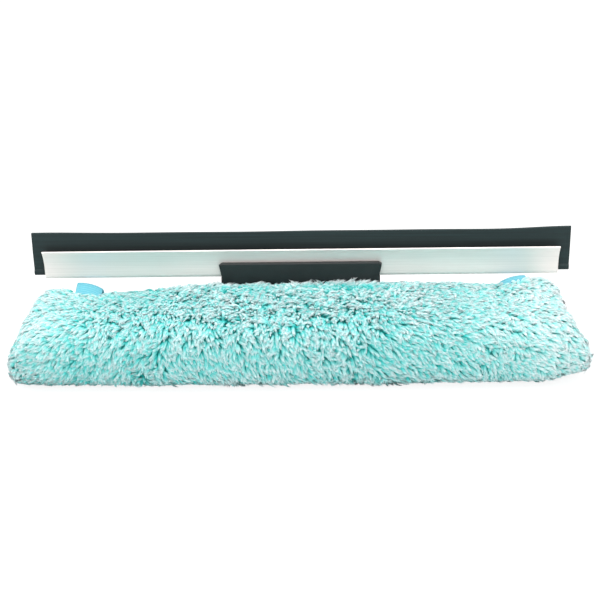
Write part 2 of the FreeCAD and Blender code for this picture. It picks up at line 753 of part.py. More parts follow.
def make_clip_plate():
    """The black front jaw, a tapering plate with bevelled top corners and three screw bosses."""
    body = new_body("clip_plate")
    front = new_sketch(body, "ClipFront", "XZ_Plane", (0, 0, -Layout.clip_back))
    foot = s.channel_floor - s.clip_drop
    top = foot + s.clip_height
    half, half_foot, turn = s.clip_width / 2, s.clip_foot_width / 2, s.clip_foot_round
    right = [
        (half_foot - turn, foot), (half_foot, foot + turn, turn, LEFT), (half, top - s.clip_corner_height),
        (half - s.clip_corner_width, top),
    ]
    left = [(-(half - s.clip_corner_width), top), (-half, top - s.clip_corner_height),
            (-half_foot, foot + turn), (-(half_foot - turn), foot, turn, LEFT)]
    outline(front, right + left)
    pad(front, s.clip_thickness)
    face = flat_at((Layout.clip_back - s.clip_thickness).value, 1)
    rounded(body, s.clip_edge_round, face)
    bosses = new_sketch(body, "ClipBosses", "XZ_Plane", (0, 0, -Layout.clip_back))
    holes = new_sketch(body, "ClipPilots", "XZ_Plane", (0, 0, -Layout.boss_end))
    for step in (-1, 0, 1):
        ring(bosses, s.clip_screw_pitch * step, Layout.clip_screw_z, s.boss_radius)
        ring(holes, s.clip_screw_pitch * step, Layout.clip_screw_z, Layout.screw_hole)
    pad(bosses, s.boss_length, reverse=True)
    pocket(holes, s.boss_length, reverse=True)
    return body


def make_screw(name, plane, origin, length):
    """A pan-head screw with its head's seat at the sketch's origin."""
    body = doc.addObject("PartDesign::Body", name)
    profile = new_sketch(body, f"{name}Profile", plane, origin)
    head, tip = s.screw_head_height, -length
    corners = [(0, tip), (s.screw_radius, tip), (s.screw_radius, 0), (s.screw_head_radius, 0),
               (s.screw_head_radius, head / 2), (s.screw_radius, head), (0, head)]
    outline(profile, corners)
    turned(profile, "V_Axis")
    return body


def make_clip_screws():
    """Three screws that go in from the rear of the bracket and pull the clip plate home."""
    seat = Layout.bracket_back - s.screw_head_height
    screws = []
    for number, step in enumerate((-1, 0, 1), start=1):
        x = s.clip_screw_pitch * step
        screws.append(make_screw(f"ClipScrew{number}", "XY_Plane", (x, seat, Layout.clip_screw_z),
                                 s.clip_screw_length))
    return group("clip_screws", screws)


def make_bracket_screws():
    """Two screws that go down through the bracket's foot into the neck."""
    screws = []
    for number, side in enumerate((-1, 1), start=1):
        x = s.bracket_screw_pitch * side / 2
        origin = (x, Layout.foot_top, -Layout.bracket_screw_y)
        screws.append(make_screw(f"BracketScrew{number}", "XZ_Plane", origin, s.bracket_screw_length))
    return group("bracket_screws", screws)


def make_handle():
    """The handle: two ears that straddle the knuckle, and a barrel with the socket for a pole."""
    body = new_body("handle_body")
    ears = new_sketch(body, "YokeSide", "YZ_Plane")
    low, high = Layout.pivot_z - s.knuckle_radius, Layout.pivot_z + s.knuckle_radius
    end = s.pivot_reach + s.yoke_length
    outline(ears, [
        (end, low), (end, high), (s.pivot_reach, high),
        (s.pivot_reach - s.knuckle_radius, Layout.pivot_z, s.knuckle_radius, LEFT),
        (s.pivot_reach, low, s.knuckle_radius, LEFT),
    ])
    pad(ears, s.yoke_width, symmetric=True)
    gap = new_sketch(body, "YokeGap", "XY_Plane", (0, 0, Layout.pivot_z))
    rectangle(gap, -Layout.ear_inside, Layout.ear_inside,
              s.pivot_reach - s.knuckle_radius - s.overrun, Layout.crotch)
    pocket(gap)
    taper = new_sketch(body, "YokeTaper", "XY_Plane", (0, 0, Layout.pivot_z))
    right = [
        (Layout.ear_outside, end - s.yoke_taper), (s.barrel_radius - s.yoke_round, end),
        (s.barrel_radius - s.yoke_round, end + s.overrun), (Layout.ear_outside + s.overrun, end + s.overrun),
        (Layout.ear_outside + s.overrun, end - s.yoke_taper),
    ]
    outline(taper, list(reversed(right)))
    outline(taper, [(-u, v) for u, v in right])
    pocket(taper)
    rounded(body, s.yoke_round, lambda edge: edge.BoundBox.XLength < s.running_gap.value
            and abs(abs(edge.BoundBox.XMin) - Layout.ear_outside.value) < s.running_gap.value)

    barrel = new_sketch(body, "BarrelProfile", "XY_Plane", (0, 0, Layout.pivot_z))
    outline(barrel, [
        (0, Layout.barrel_start), (s.barrel_radius - s.barrel_shoulder, Layout.barrel_start),
        (s.barrel_radius, Layout.barrel_start + s.barrel_shoulder, s.barrel_shoulder, LEFT),
        (s.barrel_radius, Layout.barrel_end), (0, Layout.barrel_end),
    ])
    turned(barrel, "V_Axis")
    socket = new_sketch(body, "PoleSocket", "XZ_Plane", (0, 0, -Layout.barrel_end))
    ring(socket, 0, Layout.pivot_z, s.bore_radius)
    pocket(socket, s.bore_depth, reverse=True)
    hole = new_sketch(body, "BoltHole", "YZ_Plane")
    ring(hole, s.pivot_reach, Layout.pivot_z, Layout.bolt_hole)
    pocket(hole)
    recess = new_sketch(body, "BoltHeadRecess", "YZ_Plane", (0, 0, -Layout.ear_outside))
    hexagon(recess, s.bolt_head_flats / 2 + s.seat_gap)
    pocket(recess, s.bolt_head_height + s.seat_gap, reverse=True)
    return body


def hexagon(sketch, half_flats):
    """Draws a hexagon about the pivot, with flats above and below."""
    half_side = half_flats / math.sqrt(3)
    corner = half_side * 2
    y, z = s.pivot_reach, Layout.pivot_z
    outline(sketch, [
        (y + corner, z), (y + half_side, z + half_flats), (y - half_side, z + half_flats),
        (y - corner, z), (y - half_side, z - half_flats), (y + half_side, z - half_flats),
    ])


def make_soft_grip():
    """The soft sleeve on the barrel, with sloping ends and rings of grooves."""
    body = new_body("soft_grip")
    profile = new_sketch(body, "GripProfile", "XY_Plane", (0, 0, Layout.pivot_z))
    inside = s.barrel_radius + s.running_gap
    outside = s.barrel_radius + s.grip_thickness
    start, end = Layout.grip_start, Layout.grip_start + s.grip_length
    outline(profile, [
        (inside, start), (inside + s.grip_edge, start), (outside, start + s.grip_end_slope),
        (outside, end - s.grip_end_slope), (inside + s.grip_edge, end), (inside, end),
    ])
    turned(profile, "V_Axis")
    groove = new_sketch(body, "GripGroove", "XY_Plane", (0, 0, Layout.pivot_z))
    first = start + s.rib_pitch
    bottom = outside - s.rib_groove_depth
    slope = s.rib_groove * GROOVE_SLOPE_SHARE
    outline(groove, [
        (bottom, first + slope), (outside + s.running_gap, first),
        (outside + s.running_gap, first + s.rib_groove), (bottom, first + s.rib_groove - slope),
    ])
    before = body.Shape.Volume
    cut = turned(groove, "V_Axis", "PartDesign::Groove")
    if not body.Shape.Volume < before:
        raise RuntimeError("the grip's groove cut nothing")
    y_axis = next(f for f in body.Origin.OriginFeatures if f.Role == "Y_Axis")
    room = s.grip_length - s.rib_pitch * 2 - s.rib_groove
    count = int(room.value / s.rib_pitch.value) + 1
    repeated(body, "PartDesign::LinearPattern", cut,
             {"Direction": (y_axis, [""]), "Occurrences": count},
             {"Length": s.rib_pitch * (count - 1)})
    return body


def make_end_collar():
    """The fluted ring that shuts over the barrel's mouth and carries the handle on the floor."""
    body = new_body("end_collar")
    profile = new_sketch(body, "CollarProfile", "XY_Plane", (0, 0, Layout.pivot_z))
    inside = s.barrel_radius + s.running_gap
    mouth = s.bore_radius + s.collar_mouth_gap
    seat = Layout.barrel_end + s.running_gap
    end = seat + s.collar_lip
    start = end - s.collar_length
    outline(profile, [
        (inside, start), (s.collar_radius - s.collar_round, start),
        (s.collar_radius, start + s.collar_round, s.collar_round, LEFT),
        (s.collar_radius, end - s.collar_round),
        (s.collar_radius - s.collar_round, end, s.collar_round, LEFT), (mouth, end), (mouth, seat),
        (inside, seat),
    ])
    turned(profile, "V_Axis")
    flute = new_sketch(body, "CollarFlute", "XZ_Plane", (0, 0, -end))
    angle = math.pi / FLUTE_COUNT
    reach = s.collar_radius + s.flute_radius / 2
    ring(flute, reach * math.sin(angle), Layout.pivot_z + reach * math.cos(angle), s.flute_radius)
    cut = pocket(flute, s.collar_length + s.overrun, reverse=True)
    axis = new_sketch(body, "CollarAxis", "XY_Plane", (0, 0, Layout.pivot_z))
    repeated(body, "PartDesign::PolarPattern", cut,
             {"Axis": (axis, ["V_Axis"]), "Angle": FULL_TURN, "Occurrences": FLUTE_COUNT}, {})
    return body


def make_pivot_bolt():
    """The hinge bolt, with its hexagon head sunk in the left ear."""
    body = new_body("pivot_bolt")
    shank = new_sketch(body, "BoltProfile", "XY_Plane", (0, s.pivot_reach, Layout.pivot_z))
    under = -Layout.ear_outside + s.bolt_head_height
    outline(shank, [
        (under, 0), (s.bolt_end, 0), (s.bolt_end, s.bolt_radius - s.bolt_chamfer),
        (s.bolt_end - s.bolt_chamfer, s.bolt_radius), (under, s.bolt_radius),
    ])
    turned(shank, "H_Axis")
    head = new_sketch(body, "BoltHead", "YZ_Plane", (0, 0, under))
    hexagon(head, s.bolt_head_flats / 2)
    pad(head, s.bolt_head_height, reverse=True)
    return body


def make_disc(name, start, thickness, radius):
    """A washer on the pivot bolt, from a place along X."""
    body = doc.addObject("PartDesign::Body", name)
    face = new_sketch(body, f"{name}Face", "YZ_Plane", (0, 0, start))
    ring(face, s.pivot_reach, Layout.pivot_z, radius)
    ring(face, s.pivot_reach, Layout.pivot_z, Layout.bolt_hole)
    pad(face, thickness)
    return body


def make_friction_washers():
    """The two washers between the knuckle and the ears."""
    inner = Layout.half_knuckle + s.running_gap
    right = make_disc("RightWasher", inner, s.washer_thickness, s.washer_radius)
    left = make_disc("LeftWasher", -inner - s.washer_thickness, s.washer_thickness, s.washer_radius)
    return group("friction_washers", [left, right])


def make_knob_washer():
    """The steel washer that the knob bears on."""
    body = make_disc("knob_washer", Layout.ear_outside + s.seat_gap, s.knob_washer_thickness,
                     s.knob_washer_radius)
    body.Label = "knob_washer"
    return body


def make_clamp_knob():
    """The scalloped knob, with a hub that bears on the washer and a blind hole for the insert."""
    body = new_body("clamp_knob")
    profile = new_sketch(body, "KnobProfile", "XY_Plane", (0, s.pivot_reach, Layout.pivot_z))
    start = Layout.knob_start
    end = start + s.knob_length
    skirt = start + s.knob_hub_length
    outline(profile, [
        (start, 0), (start, s.knob_hub_radius), (skirt, s.knob_hub_radius),
        (skirt, s.knob_radius), (end - s.knob_round, s.knob_radius),
        (end, s.knob_radius - s.knob_round, s.knob_round, RIGHT), (end, 0),
    ])
    turned(profile, "H_Axis")
    scallop = new_sketch(body, "KnobScallop", "YZ_Plane", (0, 0, skirt))
    ring(scallop, s.pivot_reach, Layout.pivot_z + s.scallop_offset, s.scallop_radius)
    cut = pocket(scallop, s.knob_length, reverse=True)
    axis = new_sketch(body, "KnobAxis", "XY_Plane", (0, s.pivot_reach, Layout.pivot_z))
    repeated(body, "PartDesign::PolarPattern", cut,
             {"Axis": (axis, ["H_Axis"]), "Angle": FULL_TURN, "Occurrences": SCALLOP_COUNT}, {})
    bore = new_sketch(body, "KnobBore", "YZ_Plane", (0, 0, start))
    ring(bore, s.pivot_reach, Layout.pivot_z, s.insert_radius + s.running_gap)
    pocket(bore, s.bolt_end - start + s.seat_gap, reverse=True)
    return body


def make_knob_insert():
    """The brass thread moulded into the knob."""
    body = make_disc("knob_insert", Layout.knob_start, s.insert_length, s.insert_radius)
    body.Label = "knob_insert"
    return body


def main():
    """Builds every node, checks the document and writes one file per node."""
    nodes = [
        make_t_bar(), make_sleeve(), make_upper_binding(), make_lower_binding(),
        make_closure_strips("closure_loop_strips", Layout.slit_floor + s.seat_gap),
        make_closure_strips("closure_hook_strips", Layout.slit_top - s.seat_gap - s.strip_thickness),
        make_blade(), make_channel(), make_bracket(), make_clip_plate(), make_clip_screws(),
        make_bracket_screws(), make_handle(), make_soft_grip(), make_end_collar(), make_pivot_bolt(),
        make_friction_washers(), make_knob_washer(), make_clamp_knob(), make_knob_insert(),
    ]
    doc.recompute()
    for item in doc.Objects:
        if "Invalid" in item.State or "Error" in item.State:
            raise RuntimeError(f"{item.Label} failed: {item.State}")
    for node in nodes:
        if node.Shape.isNull() or not node.Shape.isValid():
            raise RuntimeError(f"{node.Label} has no valid shape")
    os.makedirs("parts", exist_ok=True)
    for node in nodes:
        node.Shape.exportStep(f"parts/{node.Label}.step")
        print(f"{node.Label}: {len(node.Shape.Solids)} solid(s), {node.Shape.Volume:.1f} mm3")


main()
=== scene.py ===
"""Looks of a two-in-one window scrubber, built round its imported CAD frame.

A microfibre sleeve lies on its sole with a squeegee standing behind it. Sizes are in millimetres and
turn to metres where a mesh is made. +X runs along the sleeve, +Y back along the handle, +Z up.
"""
import logging
import math
from dataclasses import dataclass
from enum import Enum
from typing import Any

import bpy
import numpy as np
from bpy.types import ID, Material, Node, NodeSocket, NodeTree, Object
from mathutils import Matrix, Vector
from numpy import ndarray as Array
from numpy.random import Generator


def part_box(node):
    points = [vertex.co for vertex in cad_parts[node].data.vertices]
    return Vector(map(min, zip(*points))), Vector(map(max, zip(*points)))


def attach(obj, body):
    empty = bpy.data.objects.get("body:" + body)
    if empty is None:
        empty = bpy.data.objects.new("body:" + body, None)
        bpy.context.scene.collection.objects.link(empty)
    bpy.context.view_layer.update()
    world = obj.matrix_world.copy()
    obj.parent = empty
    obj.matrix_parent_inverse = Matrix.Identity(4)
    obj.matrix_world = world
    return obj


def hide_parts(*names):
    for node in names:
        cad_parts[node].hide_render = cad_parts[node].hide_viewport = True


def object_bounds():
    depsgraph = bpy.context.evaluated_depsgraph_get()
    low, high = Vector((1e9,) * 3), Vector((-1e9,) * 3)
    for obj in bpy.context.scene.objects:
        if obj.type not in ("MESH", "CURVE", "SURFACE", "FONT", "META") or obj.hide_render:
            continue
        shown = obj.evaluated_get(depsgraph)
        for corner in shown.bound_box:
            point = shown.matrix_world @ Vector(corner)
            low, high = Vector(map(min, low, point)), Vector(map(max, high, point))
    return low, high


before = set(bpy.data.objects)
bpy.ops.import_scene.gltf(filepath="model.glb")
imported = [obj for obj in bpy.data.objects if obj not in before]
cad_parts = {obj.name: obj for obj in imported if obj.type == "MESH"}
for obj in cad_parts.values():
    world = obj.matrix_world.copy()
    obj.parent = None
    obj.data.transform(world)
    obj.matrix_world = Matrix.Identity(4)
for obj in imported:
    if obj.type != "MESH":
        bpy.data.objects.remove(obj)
CAD_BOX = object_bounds()

MM = 0.001
BAKE_MAP = "OFBake"
# Length of one band of Blender's wave texture at a scale of 1, in metres
WAVE_PERIOD = math.pi / 10
# Upward share of the outward direction where the sleeve's top begins, and where it is all top
TOP_SPAN = (0.5, 0.95)
BACKWARD = np.array([0.0, 1.0, 0.0])
WHITE = (1.0, 1.0, 1.0, 1.0)
LOG = logging.getLogger("window_scrubber")

Span = tuple[float, float]
Curve = tuple[tuple[float, float], ...]


def linear(colour: str) -> tuple[float, float, float, float]:
    """Turns an sRGB hex value to a linear colour.

    Args:
        colour: Six hex digits after a hash sign.

    Returns:
        Red, green, blue and an alpha of 1.
    """
    shares = [int(colour[i:i + 2], 16) / 255 for i in (1, 3, 5)]
    red, green, blue = [c / 12.92 if c <= 0.04045 else ((c + 0.055) / 1.055) ** 2.4 for c in shares]
    return red, green, blue, 1.0


def add_node(tree: NodeTree, kind: str, settings: dict[Any, Any] | None = None,
             links: dict[Any, NodeSocket] | None = None) -> Node:
    """Adds one shader node.

    Args:
        tree: The material's or the world's nodes.
        kind: Blender's name for the node.
        settings: Values by attribute, by input name or by input number. The stops of a ramp are a list
            of a place and a colour each.
        links: Output sockets by the name or the number of the input that they feed.

    Returns:
        The new node.
    """
    node = tree.nodes.new(kind)
    for key, value in (settings or {}).items():
        if key == "stops":
            ramp = node.color_ramp.elements
            while len(ramp) < len(value):
                ramp.new(1.0)
            for stop, (place, colour) in zip(ramp, value):
                stop.position = place
                stop.color = linear(colour)
        elif isinstance(key, int) or key in node.inputs:
            node.inputs[key].default_value = value
        else:
            setattr(node, key, value)
    for key, socket in (links or {}).items():
        tree.links.new(socket, node.inputs[key])
    return node


@dataclass(frozen=True)
class Finish:
    """A finish, with the values that are the same all over its surface."""

    name: str
    colour: str
    roughness: float
    metallic: float = 0.0
    ior: float = 1.5
    sheen: float = 0.0

    def start(self) -> tuple[Material, NodeTree, Node]:
        """Makes the material with its shader.

        Returns:
            The material, its nodes and its shader.
        """
        material = bpy.data.materials.new(self.name)
        material.use_nodes = True
        tree = material.node_tree
        shader = tree.nodes["Principled BSDF"]
        values = {"Base Color": linear(self.colour), "Roughness": self.roughness,
                  "Metallic": self.metallic, "IOR": self.ior, "Sheen Weight": self.sheen}
        for key, value in values.items():
            shader.inputs[key].default_value = value
        return material, tree, shader

    def material(self) -> Material:
        """Makes the material with its pattern."""
        raise NotImplementedError


@dataclass(frozen=True)
class PileYarn(Finish):
    """Polyester microfibre, twisted, cut and dyed.

    The roots are painted deep as painted shade, where light sinks in between the tufts, and the tips
    nearly white as painted light.
    """

    deep: tuple[str, ...] = ("#10A09B", "#34BAB5", "#78D2D0", "#CAE6E8")
    pale: tuple[str, ...] = ("#6FD6D2", "#9CDFDC", "#CBE8E7", "#EDF1F2")
    places: tuple[float, ...] = (0.25, 0.5, 0.75, 0.94)

    def material(self) -> Material:
        """Colours each strand by its place along the bake map and by its tone across it.

        Returns:
            The material.
        """
        material, tree, shader = self.start()
        spot = add_node(tree, "ShaderNodeUVMap", {"uv_map": BAKE_MAP})
        parts = add_node(tree, "ShaderNodeSeparateXYZ", links={0: spot.outputs["UV"]})
        tones = [
            add_node(tree, "ShaderNodeValToRGB", {"stops": list(zip(self.places, stops))},
                     {"Fac": parts.outputs["Y"]})
            for stops in (self.deep, self.pale)
        ]
        mix = add_node(tree, "ShaderNodeMix", {"data_type": "RGBA"}, {
            0: parts.outputs["X"], 6: tones[0].outputs["Color"], 7: tones[1].outputs["Color"]})
        tree.links.new(mix.outputs[2], shader.inputs["Base Color"])
        return material


@dataclass(frozen=True)
class Patterned(Finish):
    """A finish with a pattern that shows as a second colour, as relief and as a change of gloss."""

    second: str = "#000000"
    span: Span = (0.0, 1.0)
    relief: float = 0.02
    strength: float = 0.5
    gloss_change: float = 0.0

    def lay(self, tree: NodeTree, shader: Node, pattern: NodeSocket,
            height: NodeSocket, colours: tuple[str, str]) -> None:
        """Lays the pattern on the surface.

        Args:
            tree: The material's nodes.
            shader: The material's shader.
            pattern: What colours the surface and changes its gloss.
            height: What gives the relief.
            colours: The colours at the two ends of the span.
        """
        ramp = add_node(tree, "ShaderNodeValToRGB", {"stops": list(zip(self.span, colours))},
                        {"Fac": pattern})
        bump = add_node(tree, "ShaderNodeBump",
                        {"Strength": self.strength, "Distance": self.relief * MM}, {"Height": height})
        tree.links.new(ramp.outputs["Color"], shader.inputs["Base Color"])
        tree.links.new(bump.outputs["Normal"], shader.inputs["Normal"])
        if self.gloss_change:
            half = self.gloss_change / 2
            gloss = add_node(tree, "ShaderNodeMapRange",
                             {"From Min": 0.3, "From Max": 0.7, "To Min": self.roughness - half,
                              "To Max": self.roughness + half}, {"Value": pattern})
            tree.links.new(gloss.outputs["Result"], shader.inputs["Roughness"])


@dataclass(frozen=True)
class WovenBand(Patterned):
    """Polyester thread, woven or knitted to a band: fine crossing ribs with a dry look.

    Real threads lie about 0.3 mm apart. They are drawn coarser, so that they show in the render.
    """

    span: Span = (0.0, 0.6)
    relief: float = 0.12
    strength: float = 0.6
    thread: float = 0.8

    def material(self) -> Material:
        """Crosses two sets of ribs one thread apart.

        Returns:
            The material.
        """
        material, tree, shader = self.start()
        place = add_node(tree, "ShaderNodeTexCoord")
        waves = [
            add_node(tree, "ShaderNodeTexWave",
                     {"bands_direction": axis, "Scale": WAVE_PERIOD / (self.thread * MM),
                      "Distortion": 1.2, "Detail": 1.0},
                     {"Vector": place.outputs["Object"]})
            for axis in ("X", "Z")
        ]
        weave = add_node(tree, "ShaderNodeMath", {"operation": "MULTIPLY"},
                         {0: waves[0].outputs["Fac"], 1: waves[1].outputs["Fac"]})
        self.lay(tree, shader, weave.outputs[0], weave.outputs[0], (self.second, self.colour))
        return material


@dataclass(frozen=True)
class Grained(Patterned):
    """A surface with fine grain from its mould or plating, and slow cloudy wear in its gloss.

    Real grain is about 0.1 mm wide. It is drawn coarser, so that it shows in the render.
    """

    span: Span = (0.4, 0.75)
    gloss_change: float = 0.12
    grain: float = 0.4
    cloud: float = 14.0

    def material(self) -> Material:
        """Adds the grain as relief, and the wear to colour and gloss.

        Returns:
            The material.
        """
        material, tree, shader = self.start()
        place = add_node(tree, "ShaderNodeTexCoord")
        grain, cloud = (
            add_node(tree, "ShaderNodeTexNoise",
                     {"Scale": 1 / (size * MM), "Detail": detail, "Roughness": rough},
                     {"Vector": place.outputs["Object"]})
            for size, detail, rough in ((self.grain, 2.0, 0.5), (self.cloud, 4.0, 0.6))
        )
        self.lay(tree, shader, cloud.outputs["Fac"], grain.outputs["Fac"], (self.colour, self.second))
        return material


@dataclass(frozen=True)
class DrawnLines(Patterned):
    """A run that came out of a die: fine lines along X, in relief, colour and gloss.

    Real die lines are about 0.1 mm wide. They are drawn coarser, so that they show in the render.
    """

    span: Span = (0.35, 0.65)
    relief: float = 0.012
    strength: float = 0.4
    gloss_change: float = 0.1
    line: float = 0.45
    line_length: float = 90.0

    def material(self) -> Material:
        """Stretches a noise along X to the lines that the die leaves.

        Returns:
            The material.
        """
        material, tree, shader = self.start()
        place = add_node(tree, "ShaderNodeTexCoord")
        across, along = 1 / (self.line * MM), 1 / (self.line_length * MM)
        stretch = add_node(tree, "ShaderNodeMapping", {"Scale": (along, across, across)},
                           {"Vector": place.outputs["Object"]})
        lines = add_node(tree, "ShaderNodeTexNoise", {"Scale": 1.0, "Detail": 3.0},
                         {"Vector": stretch.outputs["Vector"]})
        self.lay(tree, shader, lines.outputs["Fac"], lines.outputs["Fac"], (self.second, self.colour))
        return material


@dataclass(frozen=True)
class BladeRubber(DrawnLines):
    """Charcoal rubber with painted shade: nearly black low down, where the channel's lip shades it."""

    painted_lip_shade: str = "#060E0F"
    # Painted shade of the lip: heights over the floor, and half of the length that the channel holds
    painted_shade_full_height: float = 66.0
    painted_shade_top_height: float = 76.0
    held_half: float = 167.5
    end_fade: float = 4.0

    def material(self) -> Material:
        """Mixes the painted shade in by height, along as much of the rubber as the channel holds.

        Returns:
            The material.
        """
        material = super().material()
        tree = material.node_tree
        shader = tree.nodes["Principled BSDF"]
        lines = shader.inputs["Base Color"].links[0].from_socket
        place = add_node(tree, "ShaderNodeTexCoord")
        parts = add_node(tree, "ShaderNodeSeparateXYZ", links={0: place.outputs["Object"]})
        aside = add_node(tree, "ShaderNodeMath", {"operation": "ABSOLUTE"}, {0: parts.outputs["X"]})
        spans = ((self.painted_shade_top_height, self.painted_shade_full_height, parts.outputs["Z"]),
                 (self.held_half + self.end_fade, self.held_half - self.end_fade, aside.outputs[0]))
        low, held = (
            add_node(tree, "ShaderNodeMapRange",
                     {"interpolation_type": "SMOOTHSTEP", "From Min": start * MM, "From Max": end * MM},
                     {"Value": value})
            for start, end, value in spans
        )
        # Share of the lip's painted shade: full low down, and only along the length that the channel holds
        black = add_node(tree, "ShaderNodeMath", {"operation": "MULTIPLY"},
                         {0: low.outputs["Result"], 1: held.outputs["Result"]})
        mix = add_node(tree, "ShaderNodeMix", {"data_type": "RGBA", 7: linear(self.painted_lip_shade)},
                       {0: black.outputs[0], 6: lines})
        tree.links.new(mix.outputs[2], shader.inputs["Base Color"])
        return material


class Surface(Enum):
    """The finishes on the scrubber."""

    # Soft and matt, with no gloss of its own
    PILE = PileYarn("microfibre_pile_cut", "#7FD3D0", 0.85, ior=1.3)
    # Dull rows of small loops
    BACKING = WovenBand("polyester_backing_knitted", "#5CC9C6", 0.9, second="#45B7B4", thread=1.2)
    # Flat and sky blue, with crossing ribs
    TAPE = WovenBand("polyester_tape_woven", "#7AC2CD", 0.8, second="#59ABBF", thread=0.7)
    # A little brighter than the tape, as painted sheen on the smooth thread
    THREAD = WovenBand("polyester_thread_twisted", "#A9E6F4", 0.7, second="#7CCFE6", thread=0.5)
    # A pale fuzz of hooks and loops, with a faint sheen at its edges
    FASTENER = Grained("nylon_hook_and_loop_woven", "#C9CDCC", 0.9, sheen=0.3, second="#AEB3B2",
                       grain=0.6, relief=0.25)
    # Nearly black, with a satin gloss that the mould's grain breaks up
    PLASTIC = Grained("abs_black_moulded", "#141B1C", 0.46, ior=1.46, second="#1B2324", grain=0.35)
    # Charcoal and dull, with faint lines along the run, and painted shade low behind the channel's lip
    RUBBER = BladeRubber("natural_rubber_extruded", "#1F3031", 0.65, ior=1.37, second="#172526", line=0.9)
    # Duller and greyer than the plastic
    GRIP = Grained("thermoplastic_rubber_moulded", "#1A2022", 0.78, second="#242B2D", grain=0.5,
                   relief=0.03)
    # A whitish satin without mirror images, because the oxide on it scatters much of the light
    ALUMINIUM = DrawnLines("aluminium_extruded_anodised", "#F4ECE8", 0.48, metallic=0.4, second="#ECE4E0",
                           relief=0.006, gloss_change=0.05)
    # Bright grey metal, a little cloudy
    ZINC = Grained("steel_zinc_plated", "#C4C6C2", 0.32, metallic=1.0, second="#A9ABA6", grain=0.3,
                   relief=0.01)
    # Milky white and slightly waxy
    NYLON = Grained("nylon_natural_moulded", "#DEDCD0", 0.5, second="#D2CFC0", grain=0.5)
    # Yellow metal with the lines of the turning tool
    BRASS = DrawnLines("brass_turned", "#D9B566", 0.3, metallic=1.0, second="#C59F52", line=0.3)


def smooth_step(low: float, high: float, value: Array) -> Array:
    """Rises smoothly from 0 at low to 1 at high, and falls where low is above high."""
    share = np.clip((value - low) / (high - low), 0.0, 1.0)
    return share * share * (3 - 2 * share)


def unit(vectors: Array) -> Array:
    """Scales vectors to a length of 1."""
    return vectors / np.maximum(np.linalg.norm(vectors, axis=-1, keepdims=True), 1e-9)


def squircle(angle: Array, power: Array | float) -> tuple[Array, Array]:
    """Finds points on a superellipse of half-width 1.

    Args:
        angle: Directions from the middle.
        power: 2 for a circle, and more for squarer corners.

    Returns:
        The points' places along the two axes.
    """
    across, along = np.cos(angle), np.sin(angle)
    reach = (np.abs(across) ** power + np.abs(along) ** power) ** (-1 / power)
    return reach * across, reach * along


def path_length(points: Array) -> Array:
    """The length of a line of points, up to each of them."""
    return np.concatenate([[0.0], np.cumsum(np.linalg.norm(np.diff(points, axis=0), axis=1))])


def evenly(values: Array, points: Array, pitch: float, shift: float, fewest: int = 4) -> Array:
    """Picks values whose points lie one pitch apart along a line.

    Args:
        values: The value at each point of the line.
        points: The line's points, close together.
        pitch: The distance between two picks.
        shift: Where the first pick lies, as a share of the pitch.
        fewest: The least number of picks.

    Returns:
        The values picked.
    """
    length = path_length(points)
    count = max(int(length[-1] / pitch), fewest)
    return np.interp((np.arange(count) + shift) / count * length[-1], length, values)


def corners_of(node: str) -> tuple[Array, Array]:
    """The low and the high corner of a node's box, in millimetres."""
    low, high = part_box(node)
    return np.array(low) / MM, np.array(high) / MM


def add_object(name: str, data: ID) -> Object:
    """Adds an object to the scene.

    Args:
        name: Its name.
        data: Its mesh, light or camera.

    Returns:
        The new object.
    """
    item = bpy.data.objects.new(name, data)
    bpy.context.scene.collection.objects.link(item)
    return item


def mesh_piece(name: str, points: Array, faces: list[tuple[int, ...]], material: Material) -> Object:
    """Makes a smooth mesh object.

    Args:
        name: The piece's name.
        points: Its vertices in millimetres.
        faces: Its faces as vertex numbers.
        material: Its finish.

    Returns:
        The new object.
    """
    mesh = bpy.data.meshes.new(name)
    mesh.from_pydata((np.asarray(points) * MM).tolist(), [], faces)
    mesh.shade_smooth()
    mesh.materials.append(material)
    return add_object(name, mesh)


def loft(rings: Array, first: int = 0) -> list[tuple[int, ...]]:
    """Joins rings of points to a closed skin with flat ends.

    Args:
        rings: Points by ring, then by place round the ring.
        first: Number of the first vertex.

    Returns:
        Faces as vertex numbers.
    """
    count, size = rings.shape[:2]
    number = np.arange(first, first + count * size).reshape(count, size)
    after = np.roll(number, -1, axis=1)
    sides = np.stack([number[:-1], after[:-1], after[1:], number[1:]], axis=-1).reshape(-1, 4)
    ends = [number[0][::-1], number[-1]]
    return [tuple(face.tolist()) for face in [*sides, *ends]]


class SmoothNoise:
    """A smooth random field: plane waves of about one wavelength, added up."""

    def __init__(self, wavelength: float, draws: Generator, waves: int = 16) -> None:
        """Draws the waves.

        Args:
            wavelength: Their usual length in millimetres.
            draws: The source of random numbers.
            waves: How many there are.
        """
        self.steps = unit(draws.normal(size=(waves, 3))) * draws.uniform(0.7, 1.4, (waves, 1))
        self.steps *= 2 * math.pi / wavelength
        self.phases = draws.uniform(0, 2 * math.pi, waves)
        self.strength = math.sqrt(2 / waves)

    def at(self, points: Array) -> Array:
        """The field at each point, mostly between -1.5 and 1.5."""
        return np.sin(points @ self.steps.T + self.phases).sum(axis=1) * self.strength


